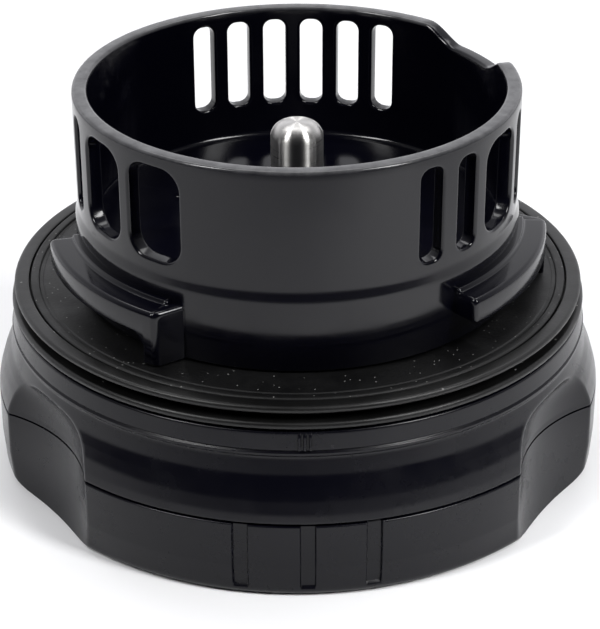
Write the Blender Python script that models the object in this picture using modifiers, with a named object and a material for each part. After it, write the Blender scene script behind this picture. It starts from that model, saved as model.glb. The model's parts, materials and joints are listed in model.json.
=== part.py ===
"""Twist-in drive unit of a wave maker pump, as separate pieces that come apart on a bench.

Sizes are in millimetres; MM turns them into Blender's metres where a mesh is made.
+Z is up, the drive axis is the Z axis, and the unit stands on z = 0.
Angles run round the drive axis from the front (-Y) towards the right (+X), in degrees.
"""
import math

import bmesh
import bpy
from mathutils import Matrix

MM = 0.001
GAP = 0.3                    # seam left between pieces that touch
RUN_GAP = 0.4                # play of the grip collar on the motor housing
MERGE = 1e-6                 # metres, for closing turned shapes

# ---- facets ----
SEG_OUTER = 40
SEG_INNER = 24
SEG_SMALL = 16
SEG_SCREW = 8
STEPS_SCOOP = 6
STEPS_LOBE = 12

# ---- impeller cage ----
CAGE_R = 33.3
CAGE_WALL = 2.3
CAGE_RISE = 30.55            # foot of the sleeve to its rim
RIM_ROUND = 0.5
CAGE_FLOOR_T = 3.4
SLOT_RISE = 5.4              # cage floor to the bottom of the slots
SLOT_TALL = 14.7
SLOT_ROUND = 1.1
SLOT_ROUND_WIDE = 2.8
SLOT_W = 4.15
SLOT_W_WIDE = 9.4
SLOTS_NARROW = tuple(181.0 + 10.9 * (i - 2.5) for i in range(6)) + (34.2, 46.0, 77.0, -74.3)
SLOTS_WIDE = (61.8, -37.6, -57.5)
NOTCH_START = 101.0
NOTCH_FOOT = 112.0
NOTCH_RISE = 128.0
NOTCH_END = 140.0
NOTCH_DEPTH = 2.5
BOSS_R = 3.2
BOSS_CIRCLE = 24.0

# ---- bayonet lugs on the cage ----
LUG_REACH = 4.6
LUG_T = 3.8
LUG_UNDER = 4.55             # open height below a lug
LUG_CENTRES = (-55.4, 64.6, 184.6)
LUG_HALF = 23.1
LUG_POST = 3.6               # degrees of stop post at the far end
LUG_STEP = 1.3
LUG_STEP_RISE = 0.5

# ---- seal carrier and its rubber rings ----
FLANGE_REACH = 8.7
CARRIER_T = 6.05
BEARING_SINK = 3.05          # the bearing shoulder below the carrier's top
RING_SEAT = 1.0
UPPER_RING_PROUD = 1.56
LOWER_RING_PROUD = 2.0
RING_T = 1.1
RING_LAND = 0.6
BEAD_IN = 2.3
BEAD_W = 1.4
BEAD_RISE = 0.3
CAGE_RING_R = 0.6            # section radius of the O-ring under the cage

# ---- shaft, bearings, shaft seal ----
SHAFT_R = 4.0
SHAFT_ABOVE_FLOOR = 15.2
SHAFT_END_ROUND = 2.3
BEARING_R = 11.0
BEARING_T = 7.0
BALL_R = 1.98
BALL_CIRCLE = 7.5
BALL_COUNT = 7
SEAT_WALL = 2.8
SHOULDER_BORE = 8.6
CIRCLIP_T = 0.8
CIRCLIP_R = 5.8
CIRCLIP_GROOVE = 0.6
WASHER_T = 0.6
SEAL_R = 9.0
SEAL_T = 2.4

# ---- motor ----
CORE_T = 3.6
CORE_BORE = 14.0
WIND_T = 1.5
TEETH = 9
TOOTH_HALF = 1.8
AIR_GAP = 0.6
MAGNET_T = 1.8
BELL_WALL = 1.8
BELL_WEB = 1.3
HUB_R = 7.2
HUB_T = 5.0
TUBE_WALL = 3.6
HOUSING_WALL = 2.2
HOUSING_TOP = 1.6

# ---- base plate and electronics ----
FOOT_GAP = 0.4
PLATE_T = 2.5
GASKET_T = 0.8
PLATE_LIP = 0.6              # how far the plate reaches under the collar
BOARD_RISE = 3.1
BOARD_T = 1.2
BOARD_CIRCLE = 24.0
GROMMET_R = 4.0
GROMMET_BORE = 1.9

# ---- grip collar ----
LEDGE = 1.7                  # neck bore to running bore
NECK_WALL = 1.97
GRIP_FLARE = 2.8
BAND_H = 11.98
PARTING = 0.3
LIP_DROP = 3.49              # carrier's top to the collar's lip
SCOOPS = (-56.7, 56.7, 180.0)
SCOOP_HALF = 14.6
SCOOP_FLOOR = 4.6            # deepest cut below the grip radius
SCOOP_LEAN = 0.155
SCOOP_DEEP_Z = 13.0
GRIP_TURN = 1.0
GROOVES = (-10.3, 1.5, 13.1)
GROOVE_W = 2.3
GROOVE_DEEP = 0.7
GROOVE_FOOT = 2.2
INDEX_ANGLE = 1.1
INDEX_RIB = 0.35
TWIST_RANGE = 30.0
STOP_ANGLE = 90.0
STOP_PIN_R = 1.0
STOP_SLOT_DEEP = 1.6

# ---- screws ----
SCREW_R = 1.2
SCREW_HEAD_R = 2.4
SCREW_HEAD_T = 1.4
SCREW_CLEAR = 0.35
COLLAR_SCREW_R = 0.9
COLLAR_HEAD_R = 1.4
HOUSING_SCREW_TURN = 60.0

# ---- levels worked out from the thicknesses, bottom to top ----
PLATE_Z = FOOT_GAP
PLATE_TOP = PLATE_Z + PLATE_T
GASKET_Z = PLATE_TOP + GAP
HOUSING_Z = GASKET_Z + GASKET_T + GAP
LOW_BEARING_Z = PLATE_TOP + 0.4
LOW_CLIP_Z = LOW_BEARING_Z + BEARING_T + GAP
BELL_Z = LOW_CLIP_Z + CIRCLIP_T + 0.4
COIL_Z = BELL_Z + BELL_WEB + 0.5
CORE_Z = COIL_Z + WIND_T + GAP
CORE_TOP = CORE_Z + CORE_T
COIL_TOP = CORE_TOP + WIND_T + GAP
WALL_Z = COIL_TOP + GAP
HOUSING_TOP_Z = WALL_Z + HOUSING_TOP
CARRIER_Z = HOUSING_TOP_Z + GAP
CARRIER_TOP = CARRIER_Z + CARRIER_T
SHOULDER_Z = CARRIER_TOP - BEARING_SINK
WASHER_Z = SHOULDER_Z + GAP
UP_BEARING_Z = WASHER_Z + WASHER_T + GAP
TOWER_TOP = UP_BEARING_Z + BEARING_T
UP_CLIP_Z = TOWER_TOP + GAP
FLOOR_Z = TOWER_TOP + GAP
FLOOR_TOP = FLOOR_Z + CAGE_FLOOR_T
CAGE_Z = CARRIER_TOP + GAP
RIM_Z = CAGE_Z + CAGE_RISE
SEAL_Z = UP_CLIP_Z + CIRCLIP_T + GAP
SHAFT_TOP = FLOOR_TOP + SHAFT_ABOVE_FLOOR
LUG_Z = CAGE_Z + LUG_UNDER
SLOT_Z = FLOOR_TOP + SLOT_RISE
LIP_Z = CARRIER_TOP - LIP_DROP
LEDGE_Z = CARRIER_Z - 0.6
SHELL_Z = BAND_H + PARTING
BOARD_Z = PLATE_TOP + BOARD_RISE

# ---- radii worked out from the cage outwards ----
CARRIER_R = CAGE_R + FLANGE_REACH
NECK_BORE = CARRIER_R + GAP
NECK_R = NECK_BORE + NECK_WALL
GRIP_R = NECK_R + GRIP_FLARE
COLLAR_BORE = CARRIER_R - LEDGE
HOUSING_R = COLLAR_BORE - RUN_GAP
PLATE_R = COLLAR_BORE + PLATE_LIP
REBATE_R = PLATE_R + GAP
SEAT_R = BEARING_R + GAP
TOWER_R = SEAT_R + SEAT_WALL
COLUMN_R = SCREW_R + 1.55
COLUMN_CIRCLE = HOUSING_R - HOUSING_WALL - COLUMN_R - 0.1
BELL_R = COLUMN_CIRCLE - COLUMN_R - 1.0
MAGNET_R = BELL_R - BELL_WALL - GAP
CORE_R = MAGNET_R - MAGNET_T - AIR_GAP
COLLAR_SCREW_CIRCLE = REBATE_R + COLLAR_HEAD_R + SCREW_CLEAR + 0.45


def clear_scene():
    """Start from an empty scene."""
    for obj in list(bpy.data.objects):
        bpy.data.objects.remove(obj, do_unlink=True)


def make_collection(name):
    """A collection linked to the scene."""
    coll = bpy.data.collections.new(name)
    bpy.context.scene.collection.children.link(coll)
    return coll


clear_scene()
PARTS = make_collection("wave_maker_pump")
CUTTERS = make_collection("cutters")


def paint(name, colour, roughness, metallic=0.0):
    """A Principled material of one colour."""
    mat = bpy.data.materials.new(name)
    mat.use_nodes = True
    shader = mat.node_tree.nodes["Principled BSDF"]
    shader.inputs["Base Color"].default_value = (*colour, 1.0)
    shader.inputs["Roughness"].default_value = roughness
    shader.inputs["Metallic"].default_value = metallic
    mat.diffuse_color = (*colour, 1.0)
    return mat


GLOSS_BLACK = paint("gloss_black_plastic", (0.016, 0.016, 0.020), 0.16)
SATIN_BLACK = paint("satin_black_plastic", (0.018, 0.018, 0.023), 0.34)
MATTE_BLACK = paint("matte_black_plastic", (0.020, 0.020, 0.021), 0.62)
RUBBER = paint("black_rubber", (0.014, 0.014, 0.014), 0.75)
STEEL = paint("polished_steel", (0.72, 0.71, 0.69), 0.12, 1.0)
SPRING = paint("spring_steel", (0.45, 0.45, 0.46), 0.35, 1.0)
IRON = paint("lamination_iron", (0.30, 0.30, 0.31), 0.5, 1.0)
MAGNET = paint("magnet_grey", (0.10, 0.10, 0.11), 0.45, 0.6)
COPPER = paint("enamelled_copper", (0.55, 0.22, 0.08), 0.35, 1.0)
BOARD = paint("board_green", (0.02, 0.14, 0.06), 0.45)
CHIP = paint("chip_black", (0.02, 0.02, 0.02), 0.5)
CAN = paint("capacitor_can", (0.55, 0.56, 0.58), 0.3, 1.0)


def polar(radius, angle):
    """X and Y of a point at an angle from the front."""
    a = math.radians(angle)
    return radius * math.sin(a), -radius * math.cos(a)


def add(name, mesh, mat=None):
    """Put a mesh in the parts, or in the cutters when it has no material."""
    obj = bpy.data.objects.new(name, mesh)
    if mat is None:
        CUTTERS.objects.link(obj)
        obj.hide_render = True
        obj.display_type = 'WIRE'
        return obj
    PARTS.objects.link(obj)
    obj.data.materials.append(mat)
    return obj


def mesh_of(bm, name):
    """Close a bmesh into a mesh with its faces pointing out."""
    bmesh.ops.recalc_face_normals(bm, faces=bm.faces)
    mesh = bpy.data.meshes.new(name)
    bm.to_mesh(mesh)
    bm.free()
    return mesh


def smooth(obj, degrees=35.0):
    """Smooth shading with creases kept sharp."""
    obj.data.shade_smooth()
    obj.data.set_sharp_from_angle(angle=math.radians(degrees))
    return obj


def turned(name, profile, mat=None, segments=SEG_OUTER, closed=True):
    """A profile of (radius, height) points turned about Z, outer side listed top to bottom.

    A closed profile makes a ring; an open one starts and ends on the axis.
    """
    mesh = bpy.data.meshes.new(name)
    verts = [(r * MM, 0.0, z * MM) for r, z in profile]
    edges = [(i, i + 1) for i in range(len(verts) - 1)]
    if closed:
        edges.append((len(verts) - 1, 0))
    mesh.from_pydata(verts, edges, [])
    obj = add(name, mesh, mat)
    screw = obj.modifiers.new("turn", 'SCREW')
    screw.axis = 'Z'
    screw.angle = math.tau
    screw.screw_offset = 0.0
    screw.steps = segments
    screw.render_steps = segments
    screw.use_merge_vertices = True
    screw.merge_threshold = MERGE
    screw.use_smooth_shade = True
    return obj


def rect(r0, r1, z0, z1):
    """A rectangular ring section, outer side top to bottom."""
    return [(r1, z1), (r1, z0), (r0, z0), (r0, z1)]


def arc_points(cr, cz, radius, start, end, count):
    """Points on a quarter round of a profile, angles from +R towards +Z."""
    step = (end - start) / count
    angles = [math.radians(start + step * i) for i in range(count + 1)]
    return [(cr + radius * math.cos(a), cz + radius * math.sin(a)) for a in angles]


def sector(name, section, start, end, mat=None, step=5.0):
    """A (radius, height) section swept round Z from one angle to another, ends closed."""
    bm = bmesh.new()
    verts = [bm.verts.new((r * MM, 0.0, z * MM)) for r, z in section]
    face = bm.faces.new(verts)
    turn = Matrix.Rotation(math.radians(start - 90.0), 3, 'Z')
    bmesh.ops.rotate(bm, verts=bm.verts, matrix=turn)
    count = max(2, math.ceil((end - start) / step))
    bmesh.ops.spin(bm, geom=[face] + list(face.edges) + list(face.verts), axis=(0, 0, 1),
                   cent=(0, 0, 0), angle=math.radians(end - start), steps=count)
    return add(name, mesh_of(bm, name), mat)


def rod(name, radius, z0, z1, mat=None, centre=(0.0, 0.0), segments=SEG_SMALL):
    """An upright cylinder."""
    bm = bmesh.new()
    bmesh.ops.create_cone(bm, cap_ends=True, segments=segments, radius1=radius * MM,
                          radius2=radius * MM, depth=(z1 - z0) * MM)
    obj = add(name, mesh_of(bm, name), mat)
    obj.location = (centre[0] * MM, centre[1] * MM, (z0 + z1) / 2 * MM)
    return obj


def block(name, size, centre, mat=None, angle=0.0, round_off=0.0, axis=1):
    """A box turned by an angle from the front; round_off rounds the edges along one of its axes."""
    bm = bmesh.new()
    bmesh.ops.create_cube(bm, size=1.0)
    bmesh.ops.scale(bm, vec=[s * MM for s in size], verts=bm.verts)
    if round_off:
        along = [e for e in bm.edges if runs_along(e, axis)]
        bmesh.ops.bevel(bm, geom=along, offset=round_off * MM, segments=3, profile=0.5, affect='EDGES')
    obj = add(name, mesh_of(bm, name), mat)
    obj.location = [c * MM for c in centre]
    obj.rotation_euler.z = math.radians(angle)
    return obj


def runs_along(edge, axis):
    """Whether an edge of a box is parallel to an axis."""
    way = edge.verts[0].co - edge.verts[1].co
    return abs(way[axis]) > 0.9 * way.length


def join(name, objects):
    """Gather several cutters into one mesh, each where it stands."""
    bm = bmesh.new()
    deps = bpy.context.evaluated_depsgraph_get()
    for obj in objects:
        mesh = bpy.data.meshes.new_from_object(obj.evaluated_get(deps))
        mesh.transform(obj.matrix_basis)
        bm.from_mesh(mesh)
        bpy.data.meshes.remove(mesh)
        bpy.data.objects.remove(obj, do_unlink=True)
    mesh = bpy.data.meshes.new(name)
    bm.to_mesh(mesh)
    bm.free()
    return add(name, mesh)


def boolean(obj, other, way='DIFFERENCE'):
    """An exact Boolean of one object with a cutter."""
    mod = obj.modifiers.new(way.lower(), 'BOOLEAN')
    mod.object = other
    mod.operation = way
    mod.solver = 'EXACT'
    return obj


def around(radius, count, turn=0.0):
    """Evenly spaced places round the axis."""
    return [polar(radius, turn + 360.0 * i / count) for i in range(count)]


def holes(name, radius, z0, z1, places):
    """Upright drills at several places, as one cutter."""
    rods = [rod(f"{name}_{i}", radius, z0, z1, centre=p, segments=SEG_SCREW) for i, p in enumerate(places)]
    return join(name, rods)


def sunk_holes(name, z0, sink_z, z1, places, shank=SCREW_R, head=SCREW_HEAD_R):
    """Screw holes with a wider sink for the head at their lower end, as one cutter."""
    drill = shank + SCREW_CLEAR
    sink = head + SCREW_CLEAR
    profile = [(0.0, z1), (drill, z1), (drill, sink_z), (sink, sink_z), (sink, z0), (0.0, z0)]
    drills = []
    for i, (x, y) in enumerate(places):
        obj = turned(f"{name}_{i}", profile, segments=SEG_SCREW, closed=False)
        obj.location = (x * MM, y * MM, 0.0)
        drills.append(obj)
    return join(name, drills)


def screw(name, place, head_z, tip_z, shank=SCREW_R, head=SCREW_HEAD_R):
    """A pan-head screw with a dished drive; the head is at head_z and the tip may point up or down."""
    way = 1.0 if tip_z > head_z else -1.0
    under = head_z + way * SCREW_HEAD_T
    dish = 0.45 * head
    profile = [(0.0, head_z + way * 0.7), (dish, head_z), (head * 0.8, head_z), (head, head_z + way * 0.5),
               (head, under), (shank, under), (shank, tip_z - way * 0.8), (0.0, tip_z)]
    if way > 0:
        profile.reverse()
    obj = turned(name, profile, STEEL, SEG_SCREW, closed=False)
    obj.location = (place[0] * MM, place[1] * MM, 0.0)
    return obj


# ---------------------------------------------------------------- cage

def slot_cutter(name, angle, width, corner):
    """A rounded window through the cage wall."""
    x, y = polar(CAGE_R - CAGE_WALL / 2, angle)
    size = (width, CAGE_WALL * 4, SLOT_TALL)
    return block(name, size, (x, y, SLOT_Z + SLOT_TALL / 2), angle=angle, round_off=corner, axis=1)


def notch_cutter():
    """A dish cut down into the rim, with a ramp at each end of its level floor."""
    section = rect(CAGE_R - CAGE_WALL - 2.0, CAGE_R + 2.0, RIM_Z - NOTCH_DEPTH, RIM_Z + 2.0)
    obj = sector("notch_cutter", section, NOTCH_START, NOTCH_END, step=3.0)
    low = (RIM_Z - NOTCH_DEPTH + 0.01) * MM
    for vert in obj.data.vertices:
        if vert.co.z < low:
            angle = math.degrees(math.atan2(vert.co.y, vert.co.x)) + 90.0
            vert.co.z = (RIM_Z - notch_depth(angle)) * MM
    return obj


def notch_depth(angle):
    """Depth of the rim notch at an angle: a ramp down, a level floor and a ramp back up."""
    down = (angle - NOTCH_START) / (NOTCH_FOOT - NOTCH_START)
    up = (NOTCH_END - angle) / (NOTCH_END - NOTCH_RISE)
    return NOTCH_DEPTH * min(1.0, down, up) - 0.05


def lug_section():
    """Section of a bayonet lug: a ledge with a low step against the sleeve."""
    root = CAGE_R - CAGE_WALL / 2
    tip = CAGE_R + LUG_REACH
    top = LUG_Z + LUG_T
    step = CAGE_R + LUG_STEP
    return [(root, top + LUG_STEP_RISE), (step - 0.3, top + LUG_STEP_RISE), (step, top), (tip - 0.4, top),
            (tip, top - 0.4), (tip, LUG_Z + 0.3), (tip - 0.3, LUG_Z), (root, LUG_Z)]


def impeller_cage():
    """Slotted sleeve with a floor, seal seat, screw bosses and bayonet lugs, in one moulding."""
    bore = CAGE_R - CAGE_WALL
    hub = SEAL_R + GAP
    rim = [(CAGE_R - RIM_ROUND, RIM_Z), (CAGE_R, RIM_Z - RIM_ROUND)]
    rim_in = [(bore, RIM_Z - RIM_ROUND), (bore + RIM_ROUND, RIM_Z)]
    profile = rim + [(CAGE_R, CAGE_Z), (bore, CAGE_Z), (bore, FLOOR_Z), (hub, FLOOR_Z), (hub, FLOOR_TOP),
                     (bore - 0.6, FLOOR_TOP), (bore, FLOOR_TOP + 0.6)] + rim_in
    cage = turned("impeller_cage", profile, GLOSS_BLACK)
    tip = CAGE_R + LUG_REACH
    for i, centre in enumerate(LUG_CENTRES):
        lug = sector(f"lug_{i}", lug_section(), centre - LUG_HALF, centre + LUG_HALF, step=7.0)
        boolean(cage, lug, 'UNION')
        post = rect(CAGE_R - CAGE_WALL / 2, tip, CAGE_Z, LUG_Z + LUG_T - 0.4)
        end = centre + LUG_HALF
        boolean(cage, sector(f"lug_post_{i}", post, end - LUG_POST, end), 'UNION')
    places = around(BOSS_CIRCLE, 3)
    bosses = [rod(f"boss_{i}", BOSS_R, CAGE_Z, FLOOR_Z + 1.0, centre=p) for i, p in enumerate(places)]
    boolean(cage, join("cage_bosses", bosses), 'UNION')
    boolean(cage, holes("cage_pilots", SCREW_R + SCREW_CLEAR, CAGE_Z - 1.0, FLOOR_Z + 1.6, places))
    cutters = [slot_cutter(f"slot_{i}", a, SLOT_W, SLOT_ROUND) for i, a in enumerate(SLOTS_NARROW)]
    cutters += [slot_cutter(f"wide_{i}", a, SLOT_W_WIDE, SLOT_ROUND_WIDE) for i, a in enumerate(SLOTS_WIDE)]
    boolean(cage, join("slot_cutters", cutters))
    boolean(cage, notch_cutter())
    for i, place in enumerate(places):
        screw(f"cage_screw_{i + 1}", place, CARRIER_Z + GAP, FLOOR_Z + 0.9)


# ---------------------------------------------------------------- seal carrier and seals

def seal_carrier():
    """Flange disc with two ring seats outside and the upper bearing tower inside."""
    seat = CARRIER_R - RING_SEAT
    top = CARRIER_TOP
    bead = CARRIER_R - BEAD_IN
    land_top = top - RING_T - 0.05
    land_low = land_top - RING_LAND
    low_seat = land_low - RING_T - 2 * GAP
    ring = CAGE_R - CAGE_WALL / 2
    wide = CAGE_RING_R + 0.3
    profile = [(bead, top), (bead + 0.25, top + BEAD_RISE), (bead + BEAD_W - 0.35, top + BEAD_RISE),
               (seat - 0.1, top - 0.3), (seat, top - 0.4), (seat, land_top), (CARRIER_R, land_top),
               (CARRIER_R, land_low), (seat, land_low), (seat, low_seat), (CARRIER_R, low_seat),
               (CARRIER_R, CARRIER_Z), (SHOULDER_BORE, CARRIER_Z), (SHOULDER_BORE, SHOULDER_Z),
               (SEAT_R, SHOULDER_Z), (SEAT_R, TOWER_TOP), (TOWER_R, TOWER_TOP), (TOWER_R, top),
               (ring - wide, top), (ring - wide, top - 2 * CAGE_RING_R), (ring + wide, top - 2 * CAGE_RING_R),
               (ring + wide, top)]
    carrier = turned("seal_carrier", profile, MATTE_BLACK)
    places = around(BOSS_CIRCLE, 3)
    sink = CARRIER_Z + GAP + SCREW_HEAD_T + GAP
    boolean(carrier, sunk_holes("carrier_holes", CARRIER_Z - 1.0, sink, CARRIER_TOP + 1.0, places))
    pilots = around(COLUMN_CIRCLE, 3, HOUSING_SCREW_TURN)
    drill = SCREW_R + SCREW_CLEAR
    boolean(carrier, holes("carrier_pilots", drill, CARRIER_Z - 1.0, CARRIER_TOP - 1.2, pilots))
    seal_ring("upper_seal_ring", seat + GAP, CARRIER_R + UPPER_RING_PROUD, land_top + GAP)
    seal_ring("lower_seal_ring", seat + GAP, CARRIER_R + LOWER_RING_PROUD, low_seat + GAP)


def seal_ring(name, bore, tip, z):
    """A flat-backed rubber ring whose outer edge thins to a lip."""
    back = bore + 0.45 * (tip - bore)
    profile = [(tip - 0.25, z + RING_T), (tip, z + RING_T - 0.25), (tip, z + 0.4), (back, z), (bore, z),
               (bore, z + RING_T)]
    turned(name, profile, RUBBER)


def cage_o_ring():
    """The O-ring that seals the foot of the cage to the carrier."""
    centre = CAGE_R - CAGE_WALL / 2
    z = CARRIER_TOP - CAGE_RING_R + 0.1
    profile = arc_points(centre, z, CAGE_RING_R, 360.0, 0.0, 6)[:-1]
    turned("cage_o_ring", profile, RUBBER, SEG_INNER)


def shaft_seal():
    """Lip seal that the shaft turns in, pressed into the cage floor."""
    lip = SHAFT_R + 0.35
    top = SEAL_Z + SEAL_T
    profile = [(SEAL_R, top), (SEAL_R, SEAL_Z), (CIRCLIP_R + 0.6, SEAL_Z), (CIRCLIP_R + 0.6, top - 0.9),
               (lip + 0.5, SEAL_Z + 0.9), (lip, SEAL_Z + 1.1), (lip + 0.5, top)]
    turned("shaft_seal", profile, RUBBER, SEG_INNER)


# ---------------------------------------------------------------- bearings and shaft

def ball_track(radius, centre_z, way):
    """Points of a race's ball groove; way is 1 for the outer race and -1 for the inner one."""
    half = math.degrees(math.acos((radius - BALL_CIRCLE) * way / (BALL_R + GAP)))
    angles = [half * (1 - i / 2) for i in range(5)]
    pts = [((BALL_R + GAP) * math.cos(math.radians(a)), (BALL_R + GAP) * math.sin(math.radians(a)))
           for a in angles]
    return [(BALL_CIRCLE + way * r, centre_z + z) for r, z in pts]


def ball_bearing(name, z):
    """Deep-groove ball bearing: two races and the ball cage with its balls."""
    mid = z + BEARING_T / 2
    outer_bore = BALL_CIRCLE + 1.45
    inner_od = BALL_CIRCLE - 1.45
    bore = SHAFT_R + GAP
    outer = [(BEARING_R, z + BEARING_T), (BEARING_R, z), (outer_bore, z)]
    outer += ball_track(outer_bore, mid, 1)[::-1] + [(outer_bore, z + BEARING_T)]
    turned(name + "_outer_race", outer, STEEL, SEG_INNER)
    inner = [(inner_od, z + BEARING_T)] + ball_track(inner_od, mid, -1)
    inner += [(inner_od, z), (bore, z), (bore, z + BEARING_T)]
    turned(name + "_inner_race", inner, STEEL, SEG_SMALL)
    retainer = rect(BALL_CIRCLE - 0.75, BALL_CIRCLE + 0.75, mid - 1.0, mid + 1.0)
    balls = turned(name + "_ball_cage", retainer, STEEL, 2 * BALL_COUNT)
    boolean(balls, ball_ring(name, mid), 'UNION')


def ball_ring(name, mid):
    """The balls of a bearing, as one cutter."""
    bm = bmesh.new()
    for x, y in around(BALL_CIRCLE, BALL_COUNT):
        place = Matrix.Translation((x * MM, y * MM, mid * MM))
        bmesh.ops.create_uvsphere(bm, u_segments=8, v_segments=4, radius=BALL_R * MM, matrix=place)
    return add(name + "_balls", mesh_of(bm, name + "_balls"))


def circlip(name, z):
    """A retaining ring with a gap, sprung into a groove of the shaft."""
    section = rect(SHAFT_R - CIRCLIP_GROOVE + GAP, CIRCLIP_R, z, z + CIRCLIP_T)
    sector(name, section, 200.0, 520.0, SPRING, step=14.0)


def drive_shaft():
    """Polished shaft with a rounded end and a groove for each circlip."""
    top = arc_points(SHAFT_R - SHAFT_END_ROUND, SHAFT_TOP - SHAFT_END_ROUND, SHAFT_END_ROUND, 90.0, 0.0, 4)
    profile = [(0.0, SHAFT_TOP + 0.12)] + top
    for z in (UP_CLIP_Z, LOW_CLIP_Z):
        low, high = z - 0.2, z + CIRCLIP_T + 0.2
        deep = SHAFT_R - CIRCLIP_GROOVE
        profile += [(SHAFT_R, high), (deep, high), (deep, low), (SHAFT_R, low)]
    foot = LOW_BEARING_Z + 0.3
    profile += [(SHAFT_R, foot + 0.6), (SHAFT_R - 0.6, foot), (0.0, foot)]
    turned("drive_shaft", profile, STEEL, SEG_SMALL + 4, closed=False)


def preload_washer():
    """Spring washer that keeps the upper bearing pressed up."""
    turned("preload_washer", rect(SHOULDER_BORE + 0.5, SEAT_R - 0.5, WASHER_Z, WASHER_Z + WASHER_T), SPRING,
           SEG_INNER)


# ---------------------------------------------------------------- motor

def rotor():
    """Outer rotor: a steel bell on the shaft with a ring magnet inside its rim."""
    bore = SHAFT_R + GAP
    rim_top = CORE_TOP + 0.6
    inside = BELL_R - BELL_WALL
    web = BELL_Z + BELL_WEB
    bell = [(BELL_R, rim_top), (BELL_R, BELL_Z), (bore, BELL_Z), (bore, BELL_Z + HUB_T),
            (HUB_R, BELL_Z + HUB_T), (HUB_R, web), (inside, web), (inside, rim_top)]
    turned("rotor_bell", bell, IRON, SEG_INNER)
    ring = rect(MAGNET_R - MAGNET_T, MAGNET_R, CORE_Z - 0.6, rim_top - 0.2)
    turned("ring_magnet", ring, MAGNET, SEG_INNER)


def tooth_outline():
    """Outline of the stator core: straight teeth with curved shoes."""
    root = CORE_BORE + 2.6
    shoe = CORE_R - 1.5
    pitch = 360.0 / TEETH
    points = []
    for i in range(TEETH):
        mid = pitch * i
        foot = math.degrees(math.asin(TOOTH_HALF / root))
        neck = math.degrees(math.asin(TOOTH_HALF / shoe))
        wing = 0.36 * pitch
        points += [polar(root, mid - foot), polar(shoe, mid - neck), polar(shoe + 0.5, mid - wing)]
        points += [polar(CORE_R, mid - wing + wing * k / 2) for k in range(5)]
        points += [polar(shoe + 0.5, mid + wing), polar(shoe, mid + neck), polar(root, mid + foot)]
    return points


def flat_plate(name, outlines, z0, z1, mat):
    """Filled outlines extruded between two heights, made a mesh with welded caps."""
    curve = bpy.data.curves.new(name, 'CURVE')
    curve.dimensions = '2D'
    curve.fill_mode = 'BOTH'
    curve.extrude = (z1 - z0) / 2 * MM
    for outline in outlines:
        spline = curve.splines.new('POLY')
        spline.points.add(len(outline) - 1)
        for point, (x, y) in zip(spline.points, outline):
            point.co = (x * MM, y * MM, 0.0, 1.0)
        spline.use_cyclic_u = True
    holder = bpy.data.objects.new(name + "_outline", curve)
    CUTTERS.objects.link(holder)
    deps = bpy.context.evaluated_depsgraph_get()
    mesh = bpy.data.meshes.new_from_object(holder.evaluated_get(deps))
    bpy.data.objects.remove(holder, do_unlink=True)
    bm = bmesh.new()
    bm.from_mesh(mesh)
    bmesh.ops.remove_doubles(bm, verts=bm.verts, dist=MERGE)
    bpy.data.meshes.remove(mesh)
    obj = add(name, mesh_of(bm, name), mat)
    obj.location.z = (z0 + z1) / 2 * MM
    return obj


def stator():
    """Laminated core and one winding on each tooth."""
    bore = [polar(CORE_BORE, 10.0 * i) for i in range(36)]
    flat_plate("stator_core", [tooth_outline(), bore], CORE_Z, CORE_TOP, IRON)
    inner = CORE_BORE + 3.6
    outer = CORE_R - 2.0
    mesh = coil_mesh(outer - inner)
    for i in range(TEETH):
        angle = 360.0 * i / TEETH
        x, y = polar((inner + outer) / 2, angle)
        coil = add(f"coil_{i + 1}", mesh, COPPER) if i == 0 else add_copy(f"coil_{i + 1}", mesh)
        coil.location = (x * MM, y * MM, (CORE_Z + CORE_TOP) / 2 * MM)
        coil.rotation_euler.z = math.radians(angle)


def add_copy(name, mesh):
    """Another object on the same mesh."""
    obj = bpy.data.objects.new(name, mesh)
    PARTS.objects.link(obj)
    return obj


def coil_mesh(length):
    """A winding: a rounded frame round the tooth, open where the tooth passes."""
    wide = 2 * (TOOTH_HALF + GAP + WIND_T)
    tall = CORE_T + 2 * (GAP + WIND_T)
    bm = bmesh.new()
    bmesh.ops.create_cube(bm, size=1.0)
    bmesh.ops.scale(bm, vec=(wide * MM, length * MM, tall * MM), verts=bm.verts)
    along = [e for e in bm.edges if runs_along(e, 1)]
    bmesh.ops.bevel(bm, geom=along, offset=1.0 * MM, segments=2, profile=0.5, affect='EDGES')
    ends = [f for f in bm.faces if abs(f.normal.y) > 0.9]
    bmesh.ops.inset_individual(bm, faces=ends, thickness=WIND_T * MM)
    loops = [e for f in ends for e in f.edges]
    bmesh.ops.delete(bm, geom=ends, context='FACES_ONLY')
    bmesh.ops.bridge_loops(bm, edges=loops)
    return mesh_of(bm, "coil")


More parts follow.
